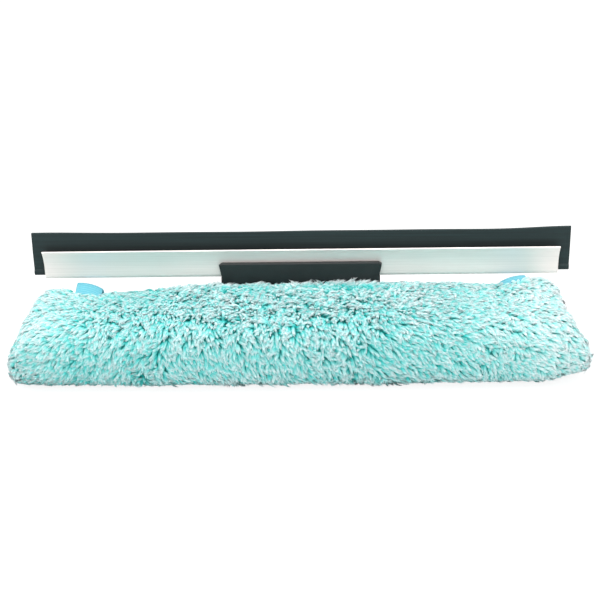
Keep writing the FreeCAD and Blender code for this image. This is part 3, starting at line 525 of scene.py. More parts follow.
@dataclass(frozen=True)
class StrandShape:
    """A closed, tapering strand: rings with a few sides, and a point.

    Softness is how far its shading leans to the outward direction. Painted shade is how much darker the
    side away from the sky is painted, and how much paler the side turned to it, with even light as its
    middle. Island is the width of a strand's column on the bake map.
    """

    stations: tuple[float, ...]
    radii: tuple[float, ...]
    sides: int = 3
    wide: float = 1.0
    thin: float = 1.0
    softness: float = 0.7
    painted_shade: float = 0.0
    even_light: float = 0.5
    island: float = 0.01
    sky: tuple[float, float, float] = (0.0, -0.5, 0.87)

    def pattern(self) -> tuple[Array, Array, Array]:
        """Works out the faces of one strand.

        Returns:
            Vertex numbers by corner, first corners by face, and places on the bake map by corner: the
            share round the strand and the share along it.
        """
        corners: list[int] = []
        starts: list[int] = []
        places: list[tuple[float, float]] = []
        rings = len(self.radii)
        apex = rings * self.sides

        def face(*spots: tuple[int, float, float]) -> None:
            """Notes a face by its corners: the vertex, the share round and the share along."""
            starts.append(len(corners))
            for number, around, along in spots:
                corners.append(number)
                places.append((around, along))

        for side in range(self.sides):
            left, right = side / self.sides, (side + 1) / self.sides
            after = (side + 1) % self.sides
            for ring in range(rings - 1):
                low, high = self.stations[ring], self.stations[ring + 1]
                base = ring * self.sides
                face((base + side, left, low), (base + after, right, low),
                     (base + self.sides + after, right, high), (base + self.sides + side, left, high))
            base, last = (rings - 1) * self.sides, self.stations[rings - 1]
            face((base + side, left, last), (base + after, right, last), (apex, (left + right) / 2, 1.0))
        face(*[(side, side / self.sides, self.island * (side % 2)) for side in reversed(range(self.sides))])
        return np.array(corners), np.array(starts), np.array(places)

    def piece(self, name: str, lines: Array, side: Array, lift: Array, tone: Array,
              material: Material, out: Array | None = None) -> Object:
        """Makes one mesh of many strands.

        Args:
            name: The piece's name.
            lines: Middle lines by strand and station, in millimetres.
            side: A unit vector across each strand.
            lift: A unit vector across each strand, square to side.
            tone: Each strand's tone from 0 to 1, its column of the bake map.
            material: Its finish.
            out: The outward direction at each strand, which the shading leans to.

        Returns:
            The new object.
        """
        strands, rings = len(lines), len(self.radii)
        angles = 2 * math.pi * np.arange(self.sides) / self.sides
        cosines, sines = np.cos(angles)[None, :, None], np.sin(angles)[None, :, None]
        spokes = cosines * side[:, None] + sines * lift[:, None]
        reach = self.wide * cosines * side[:, None] + self.thin * sines * lift[:, None]
        around = lines[:, :rings, None] + np.array(self.radii)[None, :, None, None] * reach[:, None]
        points = np.concatenate([around.reshape(strands, -1, 3), lines[:, rings:rings + 1]], axis=1)
        corners, starts, places = self.pattern()
        first = np.arange(strands)[:, None]
        # Painted shade: each corner turned away from the sky is painted deeper, and each turned to it paler
        lit = np.repeat((spokes @ np.array(self.sky))[:, None], rings, axis=1).reshape(strands, -1)
        lit = np.concatenate([lit, np.zeros((strands, 1))], axis=1)[:, corners]
        shade = tone[:, None] + self.painted_shade * (lit - self.even_light)
        across = np.clip(shade, 0.0, 1 - self.island) + self.island * places[None, :, 0]
        along = np.broadcast_to(places[None, :, 1], across.shape)

        mesh = bpy.data.meshes.new(name)
        mesh.vertices.add(points.shape[0] * points.shape[1])
        mesh.vertices.foreach_set("co", (points * MM).astype(np.float32).ravel())
        numbers = (corners[None] + first * points.shape[1]).astype(np.int32)
        mesh.loops.add(numbers.size)
        mesh.loops.foreach_set("vertex_index", numbers.ravel())
        face_starts = (starts[None] + first * len(corners)).astype(np.int32)
        mesh.polygons.add(face_starts.size)
        mesh.polygons.foreach_set("loop_start", face_starts.ravel())
        bake = mesh.uv_layers.new(name=BAKE_MAP)
        bake.data.foreach_set("uv", np.stack([across, along], axis=-1).astype(np.float32).ravel())
        mesh.update(calc_edges=True)
        mesh.shade_smooth()
        if out is not None:
            facing = np.repeat(spokes[:, None], rings, axis=1).reshape(strands, -1, 3)
            facing = np.concatenate([facing, unit(lines[:, -1:] - lines[:, -2:-1])], axis=1)
            facing = unit(self.softness * out[:, None] + (1 - self.softness) * facing)
            mesh.normals_split_custom_set_from_vertices(facing.reshape(-1, 3))
        mesh.materials.append(material)
        return add_object(name, mesh)


@dataclass
class SleeveForm:
    """The pillow that the knitted backing makes round the bar.

    Pairs that begin with end are for the left and the right end. Swells give the top's rise by place
    along X.
    """

    half_length: float
    half_width: float
    floor: float
    height: float
    end_power: float = 9.0
    end_drop: float = 0.35
    end_lean: Span = (8.5, 10.0)
    end_skew: Span = (6.0, 8.5)
    end_bulge: Span = (3.5, 3.0)
    crown_power: float = 3.2
    back_power: float = 5.0
    sole_power: float = 2.6
    waist: float = 0.45
    belly_top: float = 0.8
    shift: float = -1.0
    right_lift: float = 5.0
    lift_span: Span = (148.0, 174.0)
    swell_span: Span = (-0.4, 0.6)
    swells: Curve = (
        (-175.0, 3.5), (-158.0, 3.5), (-145.0, 0.0), (-125.0, -2.5), (-102.0, -2.0), (-72.0, 1.5),
        (0.0, 1.5), (60.0, 2.0), (100.0, 2.0), (125.0, 1.0), (138.0, 4.0), (146.0, 8.0), (158.0, 8.5),
        (175.0, 5.0))
    steps_along: int = 6001
    steps_around: int = 2001

    def skin(self, along: Array, around: Array) -> Array:
        """Finds points on the pillow.

        Args:
            along: Angles from the left end, at minus a quarter turn, to the right one.
            around: Angles round the section, from the back at 0 over the crown.

        Returns:
            The points.
        """
        along, around = np.broadcast_arrays(along, around)
        share, length = squircle(along, self.end_power)
        height = self.height * (1 - self.end_drop * (1 - share))
        above = np.sin(around) >= 0
        crown = np.where(np.cos(around) > 0, self.back_power, self.crown_power)
        width, rise = squircle(around, np.where(above, crown, self.sole_power))
        level = self.waist + np.where(above, 1 - self.waist, self.waist) * rise
        lean, skew, bulge = (np.where(length > 0, right, left)
                             for left, right in (self.end_lean, self.end_skew, self.end_bulge))
        belly = np.sin(math.pi * np.clip(level / self.belly_top, 0.0, 1.0))
        x = (self.half_length - lean * level - skew * (1 + width) / 2 + bulge * belly) * length
        y = self.half_width * share * width
        places, lifts = zip(*self.swells)
        swell = np.interp(x, places, lifts) * smooth_step(*self.swell_span, width)
        swell = swell * np.where(above, rise, 0.0)
        lift = self.right_lift * smooth_step(*self.lift_span, x) * (1 - level)
        z = self.floor + height * level + swell + lift
        return np.stack([x + self.shift, y, z], axis=-1)

    def normals(self, along: Array, around: Array, step: float = 1e-3) -> Array:
        """The outward directions at points on the pillow, from points a small step away."""
        lengthwise, crosswise = (self.skin(along + a, around + b) - self.skin(along - a, around - b)
                                 for a, b in ((step, 0.0), (0.0, step)))
        return unit(np.cross(crosswise, lengthwise))

    def rows(self, pitch: float) -> Array:
        """Angles along the pillow whose rings lie one pitch apart at the waist."""
        fine = np.linspace(-math.pi / 2, math.pi / 2, self.steps_along)[1:-1]
        return evenly(fine, self.skin(fine, np.zeros_like(fine)), pitch, 0.5)

    def ring(self, along: float, pitch: float, shift: float = 0.0) -> Array:
        """Angles round the pillow one pitch apart, the first moved by a share of the pitch."""
        fine = np.linspace(0.0, 2 * math.pi, self.steps_around)
        return evenly(fine, self.skin(np.full_like(fine, along), fine), pitch, shift)


@dataclass(frozen=True)
class Combing:
    """Which way the pile is stroked: sideways along a flow, and down over the front and the back."""

    # Sideways stroke by place along X
    flow: Curve = (
        (-165.0, -1.0), (-130.0, -0.6), (-95.0, 0.0), (-60.0, 0.35), (0.0, 0.3), (50.0, 0.55),
        (110.0, 0.9), (160.0, 1.0))
    # Wavelengths of broad swirls and of small curls, and what these and chance add
    swirl: float = 60.0
    curl: float = 8.0
    swirl_share: float = 0.12
    curl_share: float = 0.34
    stray_share: float = 0.28
    middle_swirl_share: float = 0.36
    # On the top the pile parts to the front and to the back. Kept is what the sideways flow leaves
    parting: Span = (4.0, 28.0)
    forward: float = 0.75
    backward: float = 0.9
    parting_kept: float = 0.35
    # Down, and a little more so at the front
    down: float = 0.65
    front_down: float = 0.15
    front_span: Span = (0.2, 0.9)
    down_kept: float = 0.6

    def strokes(self, roots: Array, out: Array, draws: Generator) -> Array:
        """Finds which way the pile is stroked at each root.

        Args:
            roots: The tufts' roots.
            out: The outward directions there.
            draws: The source of random numbers.

        Returns:
            Vectors along the skin, longer where the pile lies flatter.
        """
        broad, fine = (np.stack([SmoothNoise(length, draws).at(roots) for _ in range(3)], axis=1)
                       for length in (self.swirl, self.curl))
        places, flows = zip(*self.flow)
        sideways = np.interp(roots[:, 0], places, flows)
        middle = 1 - np.abs(sideways)
        stroke = self.swirl_share * broad + self.curl_share * fine
        stroke += draws.normal(0, self.stray_share, roots.shape)
        stroke[:, 0] += self.middle_swirl_share * broad[:, 0] * middle + sideways
        parted = self.backward * smooth_step(*self.parting, roots[:, 1]) - self.forward
        parted *= smooth_step(*TOP_SPAN, out[:, 2])
        stroke[:, 1] += parted * (self.parting_kept + (1 - self.parting_kept) * middle)
        down = self.down + self.front_down * smooth_step(*self.front_span, -out[:, 1])
        stroke[:, 2] -= down * (self.down_kept + (1 - self.down_kept) * middle)
        return stroke - (stroke * out).sum(axis=1, keepdims=True) * out


@dataclass(frozen=True)
class Toning:
    """How pale the tufts are, in shares, with painted light and shade. Spans are places in millimetres."""

    base: float = 0.15
    # Painted light: paler to the ends and over the right half, but less so down by the floor,
    # which stands as painted shade there
    end_span: Span = (95.0, 176.0)
    left_end: float = 0.55
    right_end: float = 0.75
    right_span: Span = (20.0, 150.0)
    right: float = 0.3
    low_span: Span = (24.0, 5.0)
    low_loss: float = 0.5
    # Painted light: paler on the top beside the middle, while the whole top is a little deeper
    crown_span: Span = (30.0, 130.0)
    crown: float = 0.28
    right_crown: float = 0.14
    top_loss: float = 0.1
    # Patches, chance, and painted light and shade by height: tufts that stand proud are paler,
    # and low ones deeper
    patch_length: float = 34.0
    patch: float = 0.05
    proud: float = 0.08
    proud_top: float = 0.28
    stray: float = 0.17

    def tones(self, roots: Array, out: Array, tips: Array, draws: Generator) -> Array:
        """Finds how pale each tuft is.

        Args:
            roots: The tufts' roots.
            out: The outward directions there.
            tips: The tufts' tips.
            draws: The source of random numbers.

        Returns:
            Tones, mostly between 0 and 1.
        """
        x = roots[:, 0]
        ends = smooth_step(*self.end_span, np.abs(x)) * np.where(x < 0, self.left_end, self.right_end)
        right = smooth_step(*self.right_span, x)
        top = smooth_step(*TOP_SPAN, out[:, 2])
        crown = top * smooth_step(*self.crown_span, np.abs(x))
        kept = 1 - self.low_loss * smooth_step(*self.low_span, roots[:, 2])
        pale = self.base + (ends + self.right * right) * kept
        pale += self.patch * SmoothNoise(self.patch_length, draws).at(roots)
        pale += (self.crown + self.right_crown * right) * crown - self.top_loss * top
        height = ((tips - roots) * out).sum(axis=1)
        pale += (self.proud + self.proud_top * top) * (height - height.mean()) / height.std()
        return pale + draws.normal(0, self.stray, len(roots))


@dataclass
class PileSleeve:
    """The microfibre sleeve: a knitted backing and the tufts of yarn that stand on it."""

    # The backing lies this far inside the frame's sleeve
    end_inset: float = 1.6
    side_inset: float = 4.9
    crown_inset: float = 5.9
    sole_inset: float = 3.0
    backing_row: float = 2.0
    backing_stitch: float = 0.8
    # Tufts, each with a yarn end and loose fibres, whose twist and tone are a mean and a spread
    row_pitch: float = 1.75
    tuft_pitch: float = 1.7
    root_jitter_share: float = 0.3
    tuft_length: float = 7.0
    length_spread: float = 0.1
    yarn_reach: float = 0.88
    # The yarn end is a little deeper than its tuft's tone, as painted shade inside the tuft
    yarn_painted_shade: float = 0.06
    fibres: int = 6
    fray: float = 0.18
    fibre_girths: tuple[float, ...] = (0.5, 0.6, 0.67, 0.54, 0.4, 0.5)
    fibre_reach: Span = (0.85, 1.12)
    fibre_twist: Span = (1.2, 0.8)
    fibre_tone: Span = (0.17, 0.26)
    # Lean from the outward direction, in radians, by the strength of the stroke and by place along X
    lean_start: float = 0.55
    lean_growth: float = 0.55
    least_lean: float = 0.8
    end_lean: float = 0.3
    lean_span: Span = (50.0, 110.0)
    most_lean: float = 1.22
    knee_rise: float = 0.5
    knee_pull: float = 0.12
    kink: float = 0.5
    tip_droop: float = 0.6
    lock_pitch: float = 3.4
    lock_pull: float = 0.25
    # Shorter pile beside the ends of the tapes
    dent_place: float = 128.0
    dent_half: float = 18.0
    dent: float = 0.12
    # Pile pushed up by the clip plate
    push_side: Span = (12.0, -4.0)
    push_front: Span = (9.0, 20.0)
    push_back: Span = (31.0, 28.0)
    push_floor: float = 25.0
    crest: float = 48.6
    crest_swell: float = 26.0
    crest_spread: float = 0.8
    crest_back: float = 2.5
    # Pile pressed by the floor, the clip plate and the bracket
    lying: float = 2.6
    floor_gap: float = 0.3
    clip_gap: float = 0.6
    clip_press: float = 2.0
    clip_drop: float = 3.0
    web_rise: float = 19.3
    web_press: float = 1.0
    press_margin: float = 1.0
    # Bare places round the tapes, their ends and the neck
    back: float = 20.0
    tape_margin: float = 3.0
    hem_cover: float = 3.5
    tape_top: float = 28.5
    arm_middle: float = 10.0
    arm_half: float = 10.5
    arm_foot: float = 18.0
    arm_back: float = 19.0
    neck_bare_half: float = 40.0
    neck_bare_top: float = 32.0
    # The flaps, the slit between them and the opening for the neck
    flap_gap: float = 0.5
    flap_fade: float = 5.0
    flap_foot: Span = (2.0, 6.0)
    flap_top: Span = (34.0, 29.0)
    slit_height: float = 16.0
    slit_half: float = 1.3
    slit_margin: float = 1.0
    slit_floor: float = 31.0
    neck_half: float = 31.0
    neck_half_height: float = 7.6
    neck_floor: float = 26.6
    yarn_pieces: int = 5
    fibre_pieces: int = 15
    seed: int = 11
    combing: Combing = Combing()
    toning: Toning = Toning()

    def __post_init__(self) -> None:
        """Takes the outside and the places of the neighbours from the frame."""
        _, high = corners_of("scrubber_sleeve")
        self.form = SleeveForm(high[0] - self.end_inset, high[1] - self.side_inset, self.sole_inset,
                               high[2] - self.crown_inset - self.sole_inset)
        self.clip_low, self.clip_high = corners_of("clip_plate")
        self.web_low, self.web_high = corners_of("squeegee_bracket")
        self.tape_low, self.tape_high = corners_of("upper_slit_binding")
        self.hem_low, _ = corners_of("lower_slit_binding")
        self.draws = np.random.default_rng(self.seed)
        self.yarn = StrandShape((0.0, 0.3, 0.55, 0.78, 0.93, 1.0), (0.9, 0.92, 0.78, 0.54, 0.27), sides=5,
                                wide=1.15, thin=0.85, softness=0.8, painted_shade=0.42)
        self.fibre = StrandShape((0.0, 0.34, 0.66, 0.88, 1.0), (0.18, 0.21, 0.2, 0.13), softness=0.85,
                                 painted_shade=0.42)

    def roots(self) -> tuple[Array, Array]:
        """Finds where the tufts stand, in rows round the sleeve as the pile is knitted.

        Returns:
            The tufts' roots and the outward directions there.
        """
        along, around = [], []
        for row in self.form.rows(self.row_pitch):
            ring = self.form.ring(row, self.tuft_pitch, self.draws.uniform())
            along.append(np.full_like(ring, row))
            around.append(ring)
        along, around = np.concatenate(along), np.concatenate(around)
        points, out = self.form.skin(along, around), self.form.normals(along, around)
        jitter = self.root_jitter_share
        points = points + self.draws.uniform(-jitter, jitter, points.shape) * self.tuft_pitch
        bare = self.bare(points)
        return points[~bare], out[~bare]

    def bare(self, points: Array) -> Array:
        """Marks the roots that the tapes, the neck and their stitches leave bare.

        Args:
            points: The roots.

        Returns:
            True for each root without a tuft.
        """
        x, y, z = np.abs(points[:, 0]), points[:, 1], points[:, 2]
        behind = y > self.back
        tapes = behind & (x < self.tape_high[0] + self.tape_margin)
        tapes &= (z > self.hem_low[2] + self.hem_cover) & (z < self.tape_top)
        arms = np.abs(x - self.tape_high[0] + self.arm_middle) < self.arm_half
        arms &= (z > self.arm_foot) & (y > self.arm_back)
        neck = behind & (x < self.neck_bare_half) & (z < self.neck_bare_top)
        return tapes | arms | neck

    def locks(self, roots: Array, tips: Array) -> Array:
        """Draws the tips of neighbouring tufts together to locks.

        Args:
            roots: The tufts' roots.
            tips: Their tips.

        Returns:
            The tips after that.
        """
        cells = np.floor(roots / self.lock_pitch + self.draws.uniform(size=3)).astype(int)
        _, lock = np.unique(cells, axis=0, return_inverse=True)
        lock = lock.ravel()
        counts = np.bincount(lock)[:, None]
        middle = np.stack([np.bincount(lock, tips[:, k]) for k in range(3)], axis=1) / counts
        return tips + self.lock_pull * (middle[lock] - tips)

    def settle(self, points: Array) -> Array:
        """Lets the pile rest on the floor and press against the clip plate and the bracket.

        Args:
            points: Points on the strands.

        Returns:
            The points after that.
        """
        x, y, z = points[..., 0], points[..., 1], points[..., 2]
        soft = self.lying - self.floor_gap
        z = np.where(z < self.lying, self.floor_gap + soft * np.exp((z - self.lying) / soft), z)
        face = self.clip_low[1] - self.clip_gap
        start = face - self.clip_press
        near = np.abs(x) < self.clip_high[0] + self.press_margin
        near &= (z > self.clip_low[2] - self.clip_drop) & (y > start)
        y = np.where(near, face - self.clip_press * np.exp((start - y) / self.clip_press), y)
        under = self.web_low[2] + self.web_rise
        start = under - self.web_press
        near = (np.abs(x) < self.web_high[0] + self.press_margin) & (y > face) & (z > start)
        z = np.where(near, under - self.web_press * np.exp((start - z) / self.web_press), z)
        return np.stack([x, y, z], axis=-1)

    def tufts(self, roots: Array, out: Array) -> tuple[Array, Array]:
        """Bends each tuft over the way it is combed.

        Args:
            roots: The tufts' roots.
            out: The outward directions there.

        Returns:
            The tufts' knees and tips.
        """
        stroke = self.combing.strokes(roots, out, self.draws)
        strength = np.linalg.norm(stroke, axis=1, keepdims=True)
        aside = np.abs(roots[:, :1])
        least = self.least_lean + self.end_lean * smooth_step(*self.lean_span, aside)
        lean = np.clip(self.lean_start + self.lean_growth * strength, least, self.most_lean)
        length = self.tuft_length * self.draws.normal(1.0, self.length_spread, (len(roots), 1))
        length *= 1 - self.dent * smooth_step(self.dent_half, 0.0, np.abs(aside - self.dent_place))
        tips = roots + length * (np.cos(lean) * out + np.sin(lean) * unit(stroke))
        tips[:, 2] -= self.tip_droop * (1 - out[:, 2])
        rise = self.beside_clip(roots)
        crest = self.crest + SmoothNoise(self.crest_swell, self.draws).at(roots)
        crest += self.draws.normal(0, self.crest_spread, len(roots))
        tips[:, 2] += rise * (crest - tips[:, 2])
        tips[:, 1] += rise * (roots[:, 1] + self.crest_back - tips[:, 1])
        tips = self.locks(roots, tips)
        knees = roots + self.knee_rise * length * out + self.knee_pull * (tips - roots)
        return knees + self.draws.normal(0, self.kink, roots.shape), tips

    def beside_clip(self, roots: Array) -> Array:
        """Finds how far the clip plate pushes each tuft up.

        Args:
            roots: The tufts' roots.

        Returns:
            Shares from 0 to 1.
        """
        x, y, z = np.abs(roots[:, 0]), roots[:, 1], roots[:, 2]
        inside = smooth_step(*self.push_side, x - self.clip_high[0])
        beside = smooth_step(*self.push_front, y) * smooth_step(*self.push_back, y)
        return inside * beside * (z > self.push_floor)

    def build(self, pile: Material) -> list[Object]:
        """Makes the pile: a plump yarn end for each tuft, and loose fibres round it.

        Args:
            pile: The yarn's finish.

        Returns:
            The pile's pieces, from the left end to the right.
        """
        roots, out = self.roots()
        order = np.argsort(roots[:, 0])
        roots, out = roots[order], out[order]
        knees, tips = self.tufts(roots, out)
        tone = self.toning.tones(roots, out, tips, self.draws)
        side = unit(np.cross(out, tips - roots))
        lift = unit(np.cross(unit(tips - roots), side))
        tufts, loose = len(roots), self.fibres
        yarns = np.stack([self.bend(roots, knees, tips, np.full((tufts, 1), station * self.yarn_reach))
                          for station in self.yarn.stations], axis=1)[:, None]
        angle = self.draws.uniform(0, 2 * math.pi, (tufts, loose, 1))
        reach = self.draws.uniform(*self.fibre_reach, (tufts, loose, 1))
        twist = self.draws.normal(*self.fibre_twist, (tufts, loose, 1))
        lines = np.empty((tufts, loose, len(self.fibre.stations), 3))
        for number, station in enumerate(self.fibre.stations):
            middle = self.bend(roots[:, None], knees[:, None], tips[:, None], station * reach)
            girth = self.fray + np.interp(station, self.yarn.stations, self.fibre_girths)
            turn = angle + twist * station
            lines[:, :, number] = middle + girth * (self.yarn.wide * np.cos(turn) * side[:, None]
                                                    + self.yarn.thin * np.sin(turn) * lift[:, None])
        shades = tone[:, None] + self.draws.normal(*self.fibre_tone, (tufts, loose))
        made = []
        for name, shape, strands, tints, pieces in (
                ("pile_yarn", self.yarn, yarns, tone[:, None] - self.yarn_painted_shade, self.yarn_pieces),
                ("pile_fibre", self.fibre, lines, shades, self.fibre_pieces)):
            for number, part in enumerate(np.array_split(np.arange(tufts), pieces), start=1):
                across, above, outward = (np.repeat(way[part], strands.shape[1], axis=0)
                                          for way in (side, lift, out))
                settled = self.settle(strands[part]).reshape(-1, len(shape.stations), 3)
                made.append(shape.piece(f"{name}_{number:02d}", settled, across, above,
                                        tints[part].ravel(), pile, outward))
        for piece in made:
            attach(piece, "head")
        return made

    @staticmethod
    def bend(root: Array, knee: Array, tip: Array, share: Array) -> Array:
        """Points along tufts that bend from root to tip."""
        return (1 - share) ** 2 * root + 2 * (1 - share) * share * knee + share ** 2 * tip

    def backing(self, knit: Material) -> Object:
        """Makes the knitted backing, with flaps at the back, the slit and the neck's opening.

        Args:
            knit: The backing's finish.

        Returns:
            The backing, which stands for the frame's sleeve.
        """
        along = self.form.rows(self.backing_row)
        around = self.form.ring(0.0, self.backing_stitch)
        rings = self.form.skin(along[:, None], around[None, :])
        x, y, z = np.abs(rings[..., 0]), rings[..., 1], rings[..., 2]
        behind, end = y > 0, self.tape_high[0]
        bulge = smooth_step(end + self.flap_fade, end, x) * behind
        bulge = bulge * smooth_step(*self.flap_foot, z) * smooth_step(*self.flap_top, z)
        y = np.maximum(y, y + bulge * (self.tape_low[1] - self.flap_gap - y))
        level = np.abs(z - self.slit_height)
        slit = behind & (x < end - self.slit_margin) & (level < self.slit_half)
        neck = behind & (x < self.neck_half) & (level < self.neck_half_height)
        y = np.where(slit, np.minimum(y, self.slit_floor), y)
        y = np.where(neck, np.minimum(y, self.neck_floor), y)
        rings = np.stack([rings[..., 0], y, z], axis=-1)
        piece = mesh_piece("sleeve_backing", rings.reshape(-1, 3), loft(rings), knit)
        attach(piece, "head")
        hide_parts("scrubber_sleeve")
        return piece


@dataclass
class SlitBinding:
    """The blue tapes that bind the slit behind, with their stitches."""

    width: float = 7.0
    thickness: float = 1.3
    arm_width: float = 17.0
    arm_drift: float = 2.0
    arm_lean: float = 16.0
    arm_bend: float = 4.5
    arm_fold: float = 112.0
    arm_tail: float = 9.0
    right_rise: float = 2.0
    arm_arch: float = 1.1
    slant: float = 8.0
    arm_foot: float = 2.0
    arm_gap: float = 0.1
    arm_slope: float = 1.6
    arm_stations: int = 60
    neck_half: float = 30.4
    neck_inset: float = 2.0
    hump_rise: float = 6.0
    sway: float = 0.3
    sway_length: float = 17.0
    ripple: float = 0.25
    ripple_length: float = 11.0
    run_stations: int = 150
    edge_points: int = 5
    face_points: int = 7
    # Stitches: from one to the next, thread that shows, from the tape's edge, and bow
    stitch_pitch: float = 3.4
    stitch_length: float = 2.3
    stitch_inset: float = 1.3
    stitch_bow: float = 0.22
    stitch_tone: float = 0.5

    def __post_init__(self) -> None:
        """Takes the tapes' places from the frame."""
        self.low, self.high = corners_of("upper_slit_binding")
        self.hem_low, self.hem_high = corners_of("lower_slit_binding")
        self.face = (self.low[1] + self.high[1]) / 2
        self.stitch = StrandShape((0.0, 0.12, 0.5, 0.88, 1.0), (0.12, 0.26, 0.3, 0.26))

    def band(self, path: Array, across: Array, width: float, arch: float = 0.0) -> Array:
        """Sets the tape's section along a path.

        Args:
            path: The tape's middle line.
            across: Unit vectors over the tape's width.
            width: The tape's width.
            arch: How far its edges droop.

        Returns:
            Rings of points.
        """
        forward = unit(np.gradient(path, axis=0))
        proud = unit(np.cross(forward, across))
        half, edge = width / 2 - self.thickness / 2, self.thickness / 2
        turn = np.linspace(-math.pi / 2, math.pi / 2, self.edge_points)
        face = np.linspace(half, -half, self.face_points)[1:-1]
        flat = np.concatenate([half + edge * np.cos(turn), face, -half - edge * np.cos(turn), -face])
        thick = np.concatenate([edge * np.sin(turn), np.full_like(face, edge),
                                -edge * np.sin(turn), np.full_like(face, -edge)])
        thick -= arch * (flat / half) ** 2
        sides = flat[None, :, None] * across[:, None]
        return path[:, None] + sides + thick[None, :, None] * proud[:, None]

    def run(self, level: float, hump: float) -> tuple[Array, Array]:
        """Finds the middle line of a tape along the slit, which goes round the neck.

        Args:
            level: Its height beside the neck.
            hump: Its height at the neck.

        Returns:
            The line, and the directions over the tape.
        """
        x = np.linspace(self.low[0], self.high[0], self.run_stations)
        share = smooth_step(self.neck_half + self.slant, self.neck_half - self.neck_inset, np.abs(x))
        z = level + (hump - level) * share + self.ripple * np.sin(x / self.ripple_length)
        y = self.face + self.sway * np.sin(x / self.sway_length)
        path = np.stack([x, y, z], axis=1)
        forward = unit(np.gradient(path, axis=0))
        return path, unit(np.cross(BACKWARD, forward))

    def arm(self, side: int) -> tuple[Array, Array]:
        """Finds the middle line of a tape end, up the back and over the shoulder of the sleeve.

        Args:
            side: -1 for the left end and 1 for the right one.

        Returns:
            The line, and the directions over the tape.
        """
        foot = self.low[2] + self.arm_foot
        rise = self.high[2] - foot - self.arm_bend + (self.right_rise if side > 0 else 0.0)
        fold, lean = math.radians(self.arm_fold), math.radians(self.arm_lean)
        length = np.linspace(0.0, rise + self.arm_bend * fold + self.arm_tail, self.arm_stations)
        heading = np.clip((length - rise) / self.arm_bend, 0.0, fold)
        risen = np.clip(length / rise, 0.0, 1.0)
        x = side * (self.high[0] - self.arm_width / 2 - self.arm_drift * risen)
        y = self.high[1] + self.arm_gap - self.arm_slope * risen - np.cumsum(np.sin(heading)) * length[1]
        z = foot + np.cumsum(np.cos(heading)) * length[1]
        across = np.array([math.cos(lean), 0.0, side * math.sin(lean)])
        return np.stack([x, y, z], axis=1), np.broadcast_to(across, (len(length), 3))

    def build(self, tape: Material, thread: Material) -> list[Object]:
        """Makes both tapes and their stitches.

        Args:
            tape: The tapes' finish.
            thread: The stitches' finish.

        Returns:
            The pieces.
        """
        half = self.width / 2
        level = self.low[2] + half
        upper = [self.run(level, level + self.hump_rise), self.arm(-1), self.arm(1)]
        lower = [self.run(self.hem_high[2] - half, self.hem_low[2] + half)]
        made = []
        for name, node, bands in (("upper_tape", "upper_slit_binding", upper),
                                  ("lower_tape", "lower_slit_binding", lower)):
            points: list[Array] = []
            faces: list[tuple[int, ...]] = []
            for number, (path, across) in enumerate(bands):
                width, arch = (self.arm_width, self.arm_arch) if number else (self.width, 0.0)
                rings = self.band(path, across, width, arch)
                faces += loft(rings, sum(len(p) for p in points))
                points.append(rings.reshape(-1, 3))
            piece = mesh_piece(name, np.concatenate(points), faces, tape)
            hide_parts(node)
            made.append(piece)
        made.append(self.stitches([upper[0], lower[0]], thread))
        for piece in made:
            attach(piece, "head")
        return made

    def stitches(self, runs: list[tuple[Array, Array]], thread: Material) -> Object:
        """Sews two rows of stitches along each tape.

        Args:
            runs: The tapes' middle lines, with the directions over them.
            thread: The stitches' finish.

        Returns:
            The stitches as one piece.
        """
        lines, sides, lifts = [], [], []
        stations = np.array(self.stitch.stations)
        for path, across in runs:
            steps = path_length(path)
            for edge in (-1, 1):
                row = path + edge * (self.width / 2 - self.stitch_inset) * across
                row[:, 1] += self.thickness / 2
                starts = np.arange(self.stitch_pitch / 2, steps[-1] - self.stitch_length, self.stitch_pitch)
                places = starts[:, None] + self.stitch_length * stations[None]
                line = np.stack([np.interp(places, steps, row[:, k]) for k in range(3)], axis=-1)
                line[:, :, 1] += self.stitch_bow * np.sin(math.pi * stations)[None]
                forward = unit(line[:, -1] - line[:, 0])
                side = unit(np.cross(forward, BACKWARD))
                lines.append(line)
                sides.append(side)
                lifts.append(unit(np.cross(forward, side)))
        lines = np.concatenate(lines)
        return self.stitch.piece("tape_stitches", lines, np.concatenate(sides), np.concatenate(lifts),
                                 np.full(len(lines), self.stitch_tone), thread)


